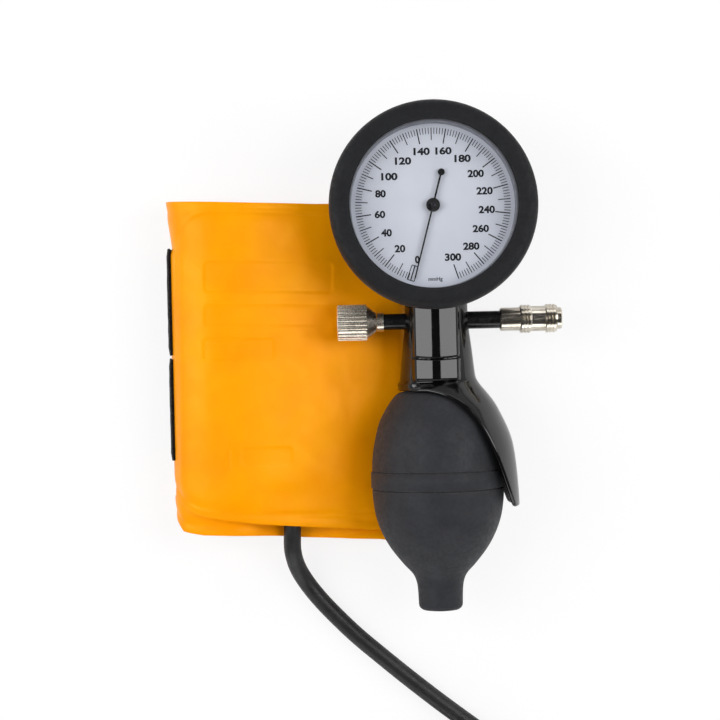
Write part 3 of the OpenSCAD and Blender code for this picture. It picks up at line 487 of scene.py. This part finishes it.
def vinyl(name, front):
    """Half glossy vinyl with a fine grain; the front has the border's weld line and bare pressed panels, tinted
    darker orange in them as painted shade in their grooves and recesses.
    """
    material = surface(name, colour(250, 156, 0), 0.4, Specular_IOR_Level=0.5,
                       Specular_Tint=colour(255, 198, 105))
    tone = tint(material, between(material, patches(material, 45, 3), 0, 1),
                colour(247, 149, 0), colour(252, 160, 0))
    grain = relief(material, patches(material, 1800, 3), 0.00002)
    soft = relief(material, patches(material, 70, 2), 0.0006, grain)
    drive(material, "Roughness", between(material, patches(material, 160, 3), 0.31, 0.43))
    if front:
        place = add(material, "TexCoord", out="Object")
        place = add(material, "VectorMath", {0: place, 1: (1000, 1000, 0)}, operation="MULTIPLY")
        place = add(material, "VectorRotate", {"Vector": place, "Angle": lean}, rotation_type="Z_AXIS")
        height = add(material, "Value")
        height.node.outputs[0].default_value = 1.0
        for centre, half_size, corner, wide, depth, line_only in [
                ((28.3, -1.5), (97.3, 55.9), 12, 1.5, 0.3, True),
                ((-35.2, 30.2), (23.5, 5.5), 1.5, 0.9, 0.5, False),
                ((-34.4, 16), (24.2, 3.7), 1.5, 0.9, 0.4, False),
                ((-46.1, 3.6), (12.9, 3.9), 1.5, 0.9, 0.4, False),
                ((-35.7, -35.9), (9.2, 3.3), 1.5, 0.8, 0.3, False),
                ((-49.2, -37.1), (0.3, 3.5), 0.2, 0.6, 0.3, False)]:
            distance = box_distance(material, place, centre, half_size, corner)
            height, share = press(material, height, distance, wide, depth, line_only)
            # Painted shade: inside each pressed panel and along the weld line the colour turns darker orange,
            # standing in for the shade in the recess.
            dark = between(material, share, 0, 0.1, 0, 0.8)
            tone = tint(material, dark, tone, colour(236, 136, 0))
        relief(material, height, 0.0005, soft)
    drive(material, "Base Color", tone)
    return material


cuff = rolled("arm_cuff", cuff_line, across, -half, half + puff + dents,
              [vinyl("vinyl_front", True), vinyl("vinyl_back", False)])
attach(cuff, "hand_piece_and_cuff")
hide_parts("cuff")
dress(hose_rubber("port_rubber", colour(30, 30, 31), colour(44, 44, 45)), "tube_port")


# Shock ring. A thick ring of matte black rubber is stretched over the gauge's case and keeps the window
# off the table; its skin has a fine mould grain, a little dust, and paler rubbed edges.
def moulded_rubber(name, dark, light, worn, grain):
    """Matte rubber from a mould, grain metres wide, with dust patches and edges rubbed pale."""
    material = surface(name, dark, 0.62, Specular_IOR_Level=0.25, Sheen_Weight=0.04, Sheen_Roughness=0.5)
    dusty = tint(material, between(material, patches(material, 140, 5), 0, 1, 0.4, 0.7), dark, light)
    drive(material, "Base Color", tint(material, edges(material, 0.0005), dusty, worn))
    drive(material, "Roughness", between(material, patches(material, 700, 3), 0.52, 0.7))
    fine_grain = relief(material, patches(material, 1 / grain, 2), 0.00003)
    relief(material, patches(material, 120, 2), 0.0001, fine_grain)
    return material


dress(moulded_rubber("ring_rubber", colour(14, 15, 18), colour(20, 21, 24), colour(31, 32, 35), 0.0005),
      "shock_ring")


# Gauge case. A drawn metal cup, enamelled black, that holds the movement and the dial and carries the stem.
def enamel(name, dark, light, roughness):
    """Baked paint: nearly even, with faint orange peel and small chips of shine."""
    material = surface(name, dark, roughness, Specular_IOR_Level=0.5)
    cloudy = between(material, patches(material, 350, 4), 0, 1)
    drive(material, "Base Color", tint(material, cloudy, dark, light))
    gloss_from, gloss_to = roughness * 0.8, roughness * 1.3
    drive(material, "Roughness", between(material, patches(material, 500, 3), gloss_from, gloss_to))
    relief(material, patches(material, 1600, 2), 0.00002)
    return material


dress(enamel("case_enamel", colour(22, 22, 24), colour(31, 31, 33), 0.4), "gauge_case")


# Window. A flat acrylic disc of 1.5 mm, snapped in under the ring's lip over a grey plastic spacer; the
# spacer's grey is darker than its own pale tone, as painted shade inside the lip.
acrylic = surface("acrylic", colour(10, 10, 11), 0.06, Specular_IOR_Level=0.5)
shine = add(acrylic, "LayerWeight", {"Blend": 0.35}, out="Facing")
haze = between(acrylic, patches(acrylic, 90, 4), 0.0, 0.015)
clear = add(acrylic, "Math", {0: between(acrylic, shine, 0.03, 0.4, 0.2, 1.0), 1: haze}, operation="ADD")
drive(acrylic, "Alpha", clear)
drive(acrylic, "Roughness", between(acrylic, patches(acrylic, 400, 4), 0.04, 0.12))
dress(acrylic, "lens")
# Painted shade: the spacer is given a mid grey that stands for the shade inside the ring's lip.
dress(enamel("spacer_plastic", colour(122, 124, 133), colour(136, 138, 147), 0.4), "lens_spacer")


# Dial. A thin aluminium disc with a white baked face, printed in black: lines every 2 mmHg, longer ones
# every 10 and 20, a number every 20 from 0 to 300, a box round zero, and the unit at the bottom.
dial_middle = np.array([26.2, 54.95])
print_z = 36.03
zero_at, turn_per_unit, scale_outside = 252.1, 1.08, 28.1
dial_face = surface("dial_face", colour(211, 216, 228), 0.55, Specular_IOR_Level=0.3)
drive(dial_face, "Base Color", tint(dial_face, between(dial_face, patches(dial_face, 60, 4), 0, 1),
                                    colour(208, 213, 225), colour(213, 217, 228)))
drive(dial_face, "Roughness", between(dial_face, patches(dial_face, 900, 2), 0.5, 0.62))
relief(dial_face, patches(dial_face, 3000, 2), 0.00001)
dress(dial_face, "dial_plate")


def print_ink(name, tone):
    """Dull printing ink, a little uneven."""
    material = surface(name, tone, 0.6, Specular_IOR_Level=0.3)
    drive(material, "Base Color", tint(material, between(material, patches(material, 1500, 3), 0, 0.35), tone,
                                       tuple(v * 0.6 + 0.02 for v in tone[:3]) + (1,)))
    drive(material, "Roughness", between(material, patches(material, 2500, 2), 0.5, 0.7))
    return material


def flat_bars(name, bars, material):
    """Printed bars, each from one place to another in mm with a width."""
    points, faces = [], []
    for start, end, width in bars:
        start, end = np.array(start, float), np.array(end, float)
        way = (end - start) / np.linalg.norm(end - start)
        side = np.array([-way[1], way[0]]) * width / 2
        first = len(points)
        points += [(*p, print_z) for p in (start - side, end - side, end + side, start + side)]
        faces.append((first, first + 1, first + 2, first + 3))
    return solid(name, points, faces, material)


def on_dial(angle, radius):
    """A place on the dial, at an angle in degrees from the right and a radius in mm."""
    turn = math.radians(angle)
    return dial_middle + radius * np.array([math.cos(turn), math.sin(turn)])


black_ink = print_ink("black_ink", colour(26, 28, 36))
bars = []
for pressure in range(0, 302, 2):
    angle = zero_at - turn_per_unit * pressure
    inner, width = (22.6, 0.42) if pressure % 20 == 0 else (23.6, 0.34) if pressure % 10 == 0 else (25.8, 0.26)
    bars.append((on_dial(angle, inner), on_dial(angle, scale_outside), width))
zero_box = [on_dial(zero_at + side, radius)
            for side, radius in ((-2.7, 22.8), (2.7, 22.8), (2.7, 28.3), (-2.7, 28.3))]
bars += [(zero_box[i], zero_box[(i + 1) % 4], 0.3) for i in range(4)]
scale_lines = flat_bars("scale_lines", bars, black_ink)


def lettering(name, texts, height, bold, material):
    """Printed texts, each centred on a place in mm, as one mesh."""
    points, faces = [], []
    for text, place, width in texts:
        letters = bpy.data.curves.new(name, "FONT")
        letters.body = text
        letters.size = 1
        letters.offset = bold
        letters.resolution_u = 4
        holder = bpy.data.objects.new(name, letters)
        bpy.context.scene.collection.objects.link(holder)
        mesh = bpy.data.meshes.new_from_object(holder.evaluated_get(bpy.context.evaluated_depsgraph_get()))
        outline = np.array([v.co for v in mesh.vertices], float)[:, :2]
        low, high = outline.min(0), outline.max(0)
        size = height / (high[1] - low[1])
        stretch = size if width is None else width / (high[0] - low[0])
        flat = (outline - (low + high) / 2) * [stretch, size] + place
        first = len(points)
        points += [(x, y, print_z) for x, y in flat]
        faces += [tuple(first + i for i in p.vertices) for p in mesh.polygons]
        bpy.data.objects.remove(holder)
        bpy.data.curves.remove(letters)
        bpy.data.meshes.remove(mesh)
    return solid(name, points, faces, material)


number_places = {0: (-6.09, -19.46), 20: (-12.27, -15.37), 40: (-16.98, -9.55), 60: (-19.22, -2.85),
                 80: (-18.85, 4.6), 100: (-15.5, 10.72), 120: (-10.42, 16.25), 140: (-3.64, 19.54),
                 160: (4.26, 19.61), 180: (11.1, 16.69), 200: (15.72, 11.13), 220: (18.77, 4.81),
                 240: (19.41, -1.96), 260: (17.1, -8.76), 280: (13.5, -15.07), 300: (6.81, -18.87)}
number_widths = {1: 1.75, 2: 3.85, 3: 5.9}
texts = [(str(n), dial_middle + spot, number_widths[len(str(n))]) for n, spot in number_places.items()]
numbers = lettering("scale_numbers", texts, 2.75, 0.042, black_ink)
unit_mark = lettering("unit_mark", [("mmHg", dial_middle + (0.3, -26.8), 5.2)], 1.8, 0.03,
                      print_ink("grey_ink", colour(70, 73, 82)))
for piece in (scale_lines, numbers, unit_mark):
    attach(piece, "hand_piece_and_cuff")


# Pointer. A stamped aluminium needle with a round tail, lacquered black, on a turned black hub that is
# pressed on the pinion's arbor; the arbor's blued end shows as a small dot.
lacquer = enamel("pointer_lacquer", colour(14, 14, 16), colour(24, 24, 27), 0.3)
dress(lacquer, "pointer", "pointer_hub")


def lathe(name, section, middle, axis, material, steps, shape=None):
    """Turns a section of [radius, place along the axis] round an axis, "y" or "z", through middle."""
    section = np.array(section, float)
    turn = np.arange(steps) * 2 * math.pi / steps
    radius = section[:, :1] * np.ones(steps)
    if shape is not None:
        radius = radius + shape(section[:, 1:], turn[None, :]) * (section[:, :1] > 0.01)
    across, up, along = radius * np.cos(turn), radius * np.sin(turn), section[:, 1:] * np.ones(steps)
    if axis == "y":
        points = np.stack([middle[0] + across, along, middle[1] + up], 2)
    else:
        points = np.stack([middle[0] + across, middle[1] + up, along], 2)
    rows = len(section)
    faces = []
    for i in range(rows - 1):
        for j in range(steps):
            n = (j + 1) % steps
            side = (i * steps + j, i * steps + n, (i + 1) * steps + n, (i + 1) * steps + j)
            faces.append(side if axis == "z" else side[::-1])
    for i, flip in ((0, axis == "z"), (rows - 1, axis == "y")):
        if radius[i].max() > 0.01 and np.linalg.norm(section[0] - section[-1]) > 1e-6:
            cap = [i * steps + j for j in range(steps)]
            faces.append(tuple(cap[::-1] if flip else cap))
    return smooth(solid(name, points.reshape(-1, 3), faces, material), 40)


steel = plated("steel", colour(176, 178, 182), colour(150, 152, 158), 0.3)
blued_steel = plated("blued_steel", colour(72, 72, 78), colour(48, 48, 54), 0.4)
arbor_end = lathe("arbor_end", [[0.9, 38.55], [0.9, 38.72], [0.75, 38.84], [0.3, 38.9], [0.02, 38.9]],
                  dial_middle, "z", blued_steel, 32)
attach(arbor_end, "pointer_set")


# Movement. Brass plates and a cut brass sector on steel arbors turn the small pinion; the capsule is soft
# bronze, soldered at its rim, and feeds from the stem through a thin pipe.
brass = plated("brass", colour(206, 170, 92), colour(178, 140, 70), 0.28)
bronze = plated("bronze", colour(190, 132, 84), colour(158, 104, 62), 0.33)
dress(brass, "sector_gear", "movement_plate", "movement_bridge", "movement_pillars", "movement_posts",
      "rocker_lugs", "gauge_stem", "capsule_stud", "capsule_pusher")
dress(bronze, "capsule", "hairspring", "feed_pipe")
dress(steel, "pinion_arbor", "movement_screws", "rocker_lever")


# Grip. The neck, its beaded collar and the curved spoon beside the bulb are one moulding of glossy black
# plastic over a brass manifold. Half of a raised column stands on the neck's front; the other half, above
# the joint line, is the saddle that holds the gauge.
axis_x, axis_z = 26.2, 24.5
neck_aside, spoon_aside = 0.7, 1.6
bead_foot, spoon_tip, spoon_thick = -11.85, -54.8, 1.8
column_half, column_foot, recess_floor = 8.5, -8.7, -11.2
gauge_y, ring_outside, case_outside = dial_middle[1], 37.65, 33.0


def circle_from(middle, radius, turn):
    """Distance from the neck's axis to a circle whose middle lies to the right, at an angle from the front."""
    return middle * np.sin(turn) + np.sqrt(np.maximum(radius ** 2 - (middle * np.cos(turn)) ** 2, 0))


def merged(first, second, fillet):
    """The larger of two sizes, with a fillet where they meet."""
    near = np.maximum(fillet - np.abs(first - second), 0) / fillet
    return np.maximum(first, second) + near * near * fillet / 4


def profile(points, y):
    """The radius at y of a section of [radius, y] points."""
    points = np.array(points)[::-1]
    return np.interp(y, points[:, 1], points[:, 0])


neck_side = [[11.55, 26], *through([[11.55, 16.4], [11.9, 10], [12.75, 3], [13.5, -4], [13.8, -6.6],
                                    [14.05, -8.2], [14.6, -9.2]], 5), [14.75, -9.6], [14.8, -10.1],
             [14.7, -10.6], [14.4, -11.1], [13.9, -11.6], [13.5, bead_foot], [8, -12.4]]
spoon_side = through([[11.9, -5.4], [13.3, -8.5], [15.8, -11.65], [18.2, -14.65], [20.1, -17.4], [21.7, -20.45],
                      [24.4, -26.35], [26.2, -32.15], [27.3, -40.45], [27.9, -48.65], [28.1, spoon_tip]], 6)
spoon_way = np.gradient(np.array(spoon_side), axis=0)
spoon_way /= np.linalg.norm(spoon_way, axis=1)[:, None]
spoon_inside = np.array(spoon_side) + spoon_thick * np.stack([spoon_way[:, 1], -spoon_way[:, 0]], 1)
crest = through([[-1.9, 39.6], [-0.9, 39.78], [0, 39.8], [0.9, 39.78], [1.9, 39.6], [2.8, 39.3], [4.2, 38.85],
                 [5.6, 38.37]], 5)[10:]
shoulder = [[column_half + 2.7 * (math.cos(a) - 1), 35.4 + 2.7 * math.sin(a)]
            for a in np.radians(np.arange(66, -1, -6))]
column_side = np.array([*crest, *shoulder, [column_half, 32], [column_half, 28]])
column_turn = np.arctan2(column_side[:, 0], column_side[:, 1] - axis_z)
column_reach = np.hypot(column_side[:, 0], column_side[:, 1] - axis_z)


def joint_at(x):
    """Where the joint between the saddle and the grip runs; it sags a little in the middle."""
    return -0.5 * (1 - np.clip(x / column_half, -1, 1) ** 2)


def grip_reach(turn, y):
    """Radius of the grip's outside, at an angle from the front and a place along the neck."""
    neck = circle_from(neck_aside, profile(neck_side, y), turn)
    neck = neck - 1.2 * ease(np.cos(turn - 0.35), 0.45, 0.8) * ease(-y, 7.8, 9.2)
    spoon = circle_from(spoon_aside, profile(spoon_side, y), turn) - 4 * ease(y, -7, -4)
    folded = np.abs((turn + math.pi) % (2 * math.pi) - math.pi)
    column = np.interp(folded, column_turn, column_reach, right=0)
    start = joint_at(column * np.sin(turn)) - 0.1
    column = column - 1.2 + np.sqrt(1.44 - np.clip(-y - 7.5, 0, 1.2) ** 2) - 20 * ease(-y, 8.7, 9.0)
    column = column - 0.4 * (1 - ease(start - y, 0.1, 0.5)) - 20 * (1 - ease(start - y, 0, 0.2))
    return merged(merged(neck, spoon, 0.9), column, 0.5)


def grip_point(turn, y, reach):
    """Place in mm of a point at an angle from the front, a place along the neck and a radius."""
    turn, y, reach = np.broadcast_arrays(turn, y, reach)
    return np.stack([axis_x + reach * np.sin(turn), y, axis_z + reach * np.cos(turn)], -1)


# The spoon's rim as seen from the front, one curve from under the bead to the tip, and how far down the skin
# it lies at each angle.
done = np.linspace(0, 1, 400)[:, None]
left = 1 - done
rim_plan = (left ** 3 * [-15.2, -11.1] + 3 * left ** 2 * done * [11.2, -11.2]
            + 3 * left * done ** 2 * [16.2, -20] + done ** 3 * [27.5, -54.7])
turns = np.radians(np.linspace(-90, 90, 1441))
depths = np.linspace(bead_foot, spoon_tip, 860)
across_plan = grip_reach(turns[None, :], depths[:, None]) * np.sin(turns)
beyond = depths[:, None] < np.interp(across_plan, rim_plan[:, 0], rim_plan[:, 1])
rim_depth = np.where(beyond.any(0), depths[beyond.argmax(0)], spoon_tip)
rim_depth[:np.argmax(rim_depth < -11.9)] = bead_foot


def spaced(rim, count, extra):
    """That many points evenly along the rim, with more where it turns fast round the neck."""
    at = grip_point(rim[:, 0], rim[:, 1], grip_reach(rim[:, 0], rim[:, 1]))
    length = np.concatenate([[0], np.cumsum(np.linalg.norm(np.diff(at, axis=0), axis=1))])
    length += extra * np.degrees(rim[:, 0] - rim[0, 0])
    want = np.linspace(0, length[-1], count)
    return np.stack([np.interp(want, length, rim[:, k]) for k in (0, 1)], 1)


# The front half of the rim, smoothed near the tip with a piece of its mirror image added at both ends, and
# then the back half, which mirrors it.
half_rim = spaced(np.stack([turns, rim_depth], 1), 500, 0.0)
mirror, half_turn, borrowed = np.array([-1, 1]), np.array([math.pi, 0]), 39
longer = np.concatenate([half_rim[1:borrowed + 1][::-1] * mirror - half_turn, half_rim,
                         half_rim[::-1][1:borrowed + 1] * mirror + half_turn])
bell = np.exp(-(np.arange(-24, 25) / 10.0) ** 2)
bell /= bell.sum()
soft_rim = np.stack([np.convolve(longer[:, k], bell, "same")[borrowed:-borrowed] for k in (0, 1)], 1)
near_tip = ease(-half_rim[:, 1:], 36, 46)
half_rim = spaced(half_rim * (1 - near_tip) + soft_rim * near_tip, 171, 0.35)
rim = np.concatenate([half_rim, half_rim[::-1][1:-1] * mirror + half_turn])


def rim_frame(rim):
    """Points on the rim, the skin's normals there, and the ways that point off the skin's edge."""
    turn, y = rim[:, 0], rim[:, 1]
    at = grip_point(turn, y, grip_reach(turn, y))
    along = np.roll(at, -1, 0) - np.roll(at, 1, 0)
    up = grip_point(turn, y + 0.4, grip_reach(turn, y + 0.4)) - at
    normal = np.cross(along, up)
    normal /= np.linalg.norm(normal, axis=1)[:, None]
    radial = at - np.stack([np.full(len(at), axis_x), y, np.full(len(at), axis_z)], 1)
    normal *= np.sign((normal * radial).sum(1))[:, None]
    off = np.cross(along, normal)
    off /= np.linalg.norm(off, axis=1)[:, None]
    off *= -np.sign(off @ [0, 1, 0])[:, None]
    return at, normal, off


# The skin's rows from the ring down to the lip, the rounded lip, the spoon's hollow, and the recess for the
# bulb's collar.
lip = 0.8
rim_at, _, off = rim_frame(rim)
lip_at = rim_at - lip * off
skin_turn = np.unwrap(np.arctan2(lip_at[:, 0] - axis_x, lip_at[:, 2] - axis_z))
lip_y = lip_at[:, 1]
neck_top = 11.9
top_x = neck_top * np.sin(skin_turn) + neck_aside
skin_top = np.where(neck_top * np.cos(skin_turn) > 3.0, gauge_y - np.sqrt(ring_outside ** 2 - top_x ** 2),
                    54.9 - np.sqrt(case_outside ** 2 - top_x ** 2))
rows = [12 + (skin_top - 12) * t for t in (1, 0.8, 0.6, 0.4, 0.2)]
rows += [np.full(len(skin_turn), y) for y in
         [*np.arange(12, 0.5, -0.7), 0.3, *np.arange(0.1, -1.4, -0.12), *np.arange(-1.5, -6, -0.5),
          *np.arange(-6.1, column_foot, -0.25)]]
rows += [column_foot + (lip_y - column_foot) * t for t in np.linspace(0, 1, 47)[1:]]
skin = grip_point(skin_turn[None, :], np.array(rows), grip_reach(skin_turn[None, :], np.array(rows)))
lip_normal = rim_frame(np.stack([skin_turn, lip_y], 1))[1]
edge = [skin[-1] + lip * ((math.cos(a) - 1) * lip_normal + math.sin(a) * off)
        for a in np.radians(range(20, 181, 20))]
inner_lip = edge[-1]
inner_turn = np.unwrap(np.arctan2(inner_lip[:, 0] - axis_x, inner_lip[:, 2] - axis_z))
inner_reach = np.hypot(inner_lip[:, 0] - axis_x, inner_lip[:, 2] - axis_z)
hollow = []
for t in np.linspace(0, 1, 25)[1:]:
    y = inner_lip[:, 1] + (recess_floor - inner_lip[:, 1]) * t
    meant = circle_from(spoon_aside, profile(spoon_inside, y), inner_turn)
    at_rim = circle_from(spoon_aside, profile(spoon_inside, inner_lip[:, 1]), inner_turn)
    hollow.append(grip_point(inner_turn, y, np.maximum(meant + (inner_reach - at_rim) * (1 - t) ** 2, 10.2)))
recess = [grip_point(inner_turn, y, radius) for radius, y in (
    (9.7, recess_floor), (9.65, -9), (9.65, -0.3), (6.5, -0.2), (6.5, 6), *((6.5, y) for y in range(11, 17)))]


def shell(name, points, material, keep=None):
    """A skin over rows of points, closed both ways; faces whose middle is not kept leave a hole."""
    rows, columns = points.shape[:2]
    flat = points.reshape(-1, 3)
    faces = []
    for i in range(rows):
        for j in range(columns):
            n, m = (i + 1) % rows, (j + 1) % columns
            face = (i * columns + j, i * columns + m, n * columns + m, n * columns + j)
            if keep is None or keep(flat[list(face)].mean(0)):
                faces.append(face)
    made = solid(name, flat, faces, material)
    outward = bmesh.new()
    outward.from_mesh(made.data)
    bmesh.ops.recalc_face_normals(outward, faces=outward.faces)
    outward.to_mesh(made.data)
    outward.free()
    return smooth(made, 40)


gloss = surface("gloss_plastic", colour(5, 5, 6), 0.07, Specular_IOR_Level=0.5)
drive(gloss, "Base Color", tint(gloss, between(gloss, patches(gloss, 90, 4), 0, 1),
                                colour(4, 4, 5), colour(9, 8, 8)))
drive(gloss, "Roughness", between(gloss, patches(gloss, 380, 4), 0.05, 0.13))
relief(gloss, patches(gloss, 150, 2), 0.00004)
stub_y, stub_hole = 13.45, 2.3
grip = shell("grip", np.concatenate([skin, edge, hollow, recess]), gloss,
             lambda at: math.hypot(at[1] - stub_y, at[2] - axis_z) > stub_hole)
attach(grip, "hand_piece_and_cuff")
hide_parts("grip_body")

side_x = np.concatenate([-column_side[::-1, 0], column_side[1:, 0]])
side_z = np.concatenate([column_side[::-1, 1], column_side[1:, 1]])
saddle_rows = []
saddle_end = gauge_y - np.sqrt(ring_outside ** 2 - side_x ** 2)
for up, sink in [(0, 0.45), (0.06, 0.2), (0.2, 0.06), (0.5, 0), *((up, 0) for up in np.linspace(1, 17.1, 24))]:
    climbed = max(up - 0.5, 0) / 16.6
    y = (joint_at(side_x) + 0.15 + min(up, 0.5)) * (1 - climbed) + saddle_end * climbed
    foot = np.sqrt(np.maximum((profile(neck_side, y) - 0.3) ** 2 - (side_x - neck_aside) ** 2, 0)) + axis_z
    front = np.stack([axis_x + side_x * (1 - sink / column_half), y, np.maximum(side_z - sink, foot)], 1)
    back = np.stack([axis_x + side_x, y, np.minimum(foot, side_z - 0.1)], 1)[::-1]
    saddle_rows.append(np.concatenate([front, back]))
lower_end, upper_end = (np.tile(row.mean(0), (len(row), 1)) for row in (saddle_rows[0], saddle_rows[-1]))
saddle = shell("saddle", np.array([lower_end, *saddle_rows, upper_end]), gloss)
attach(saddle, "hand_piece_and_cuff")
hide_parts("gauge_saddle")
dress(brass, "air_manifold")


# Bulb. Black rubber, moulded in two halves: an egg with a flat raised band round its middle, a thick
# collar end in the grip and a tail round the intake valve; its skin is dull, with a fine grain.
bulb_outside = [[5.45, -2.5], [9.2, -2.5], [9.4, -2.8], [9.4, -11.2], [10.2, -11.7],
                *through([[11.4, -12.2], [14.4, -13.2], [17.5, -16.95], [20.8, -22.85], [22.5, -28.65],
                          [23.6, -34.55], [24.1, -40.6]], 5),
                [24.1, -40.9], [23.6, -41.1], [23.6, -41.4], [24.3, -41.5], [24.5, -41.75], [24.52, -44.5],
                [24.5, -47.25], [24.3, -47.5], [23.6, -47.6], [23.6, -47.9], [24.1, -48.1],
                *through([[24.12, -48.4], [23.9, -52.15], [23, -57.95], [21, -63.85], [17.8, -69.75],
                          [13.3, -75.55], [10, -79.2], [8.6, -82.4], [8.15, -86.4], [8.1, -90.4]], 5),
                [7.95, -91.2], [7.5, -91.9], [6.8, -92.4], [6.2, -92.5], [5.4, -92.5]]
bulb_inside = through([[5.5, -16], [13, -18.4], [18, -24], [20.3, -32], [21.2, -40], [21.3, -48],
                       [20.4, -57], [17.6, -64.5], [12.6, -71], [7.4, -76.2], [5.3, -80]], 3)
bulb_section = [*bulb_outside, *(p - [0.3, 0] for p in bulb_inside[::-1]), [5.45, -14], [5.45, -2.5]]


def mould_line(along, turn):
    """A thin ridge where the mould's halves met, on the two sides of the bulb."""
    body = ease(-along, 13, 16) * (1 - ease(-along, 88, 90))
    away = np.minimum(np.abs(np.sin(turn)) * 24, 5)
    return 0.07 * body * np.exp(-(away / 0.5) ** 2)


bulb_skin = moulded_rubber("bulb_skin", colour(37, 38, 42), colour(44, 45, 49), colour(54, 54, 57), 0.0006)
squeeze_bulb = lathe("squeeze_bulb", bulb_section, (axis_x, axis_z), "y", bulb_skin, 192, mould_line)
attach(squeeze_bulb, "hand_piece_and_cuff")
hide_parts("bulb")
nickel = plated("nickel", colour(226, 219, 208), colour(196, 187, 174), 0.16)
dress(nickel, "bulb_nozzle", "intake_body")
dress(moulded_rubber("flap_rubber", colour(34, 34, 36), colour(44, 44, 46), colour(52, 52, 54), 0.0004),
      "outlet_flap", "intake_disc")
dress(pile("filter_felt", colour(120, 118, 112), colour(170, 168, 160), 0.0006), "intake_filter")


# Release valve. A black stub screwed into the neck carries a plated collar, and a plated knob with deep
# flutes and a scalloped cone screws the steel needle on and off its seat.
knob_metal = plated("knob_metal", colour(250, 240, 226), colour(224, 212, 196), 0.26, wear=0.0005)
dress(knob_metal, "valve_knob", "valve_collar")
dress(steel, "valve_needle")
stub_black = enamel("stub_black", colour(13, 13, 14), colour(22, 22, 24), 0.22)
dress(stub_black, "valve_stub", "hose_stub")
seal = moulded_rubber("seal_rubber", colour(26, 26, 28), colour(36, 36, 38), colour(46, 46, 48), 0.0003)
dress(seal, "valve_seal", "coupling_seal")


# Quick coupling. A plated body screwed on the hose stub, with an open socket; the sleeve with two grooved
# bands slides back against its spring and lets four steel balls off the plug.
coupling_metal = plated("coupling_metal", colour(226, 219, 206), colour(198, 189, 174), 0.17, (0.08, 1, 1))
dress(coupling_metal, "coupling_body", "coupling_sleeve")
dress(steel, "coupling_spring", "coupling_balls")
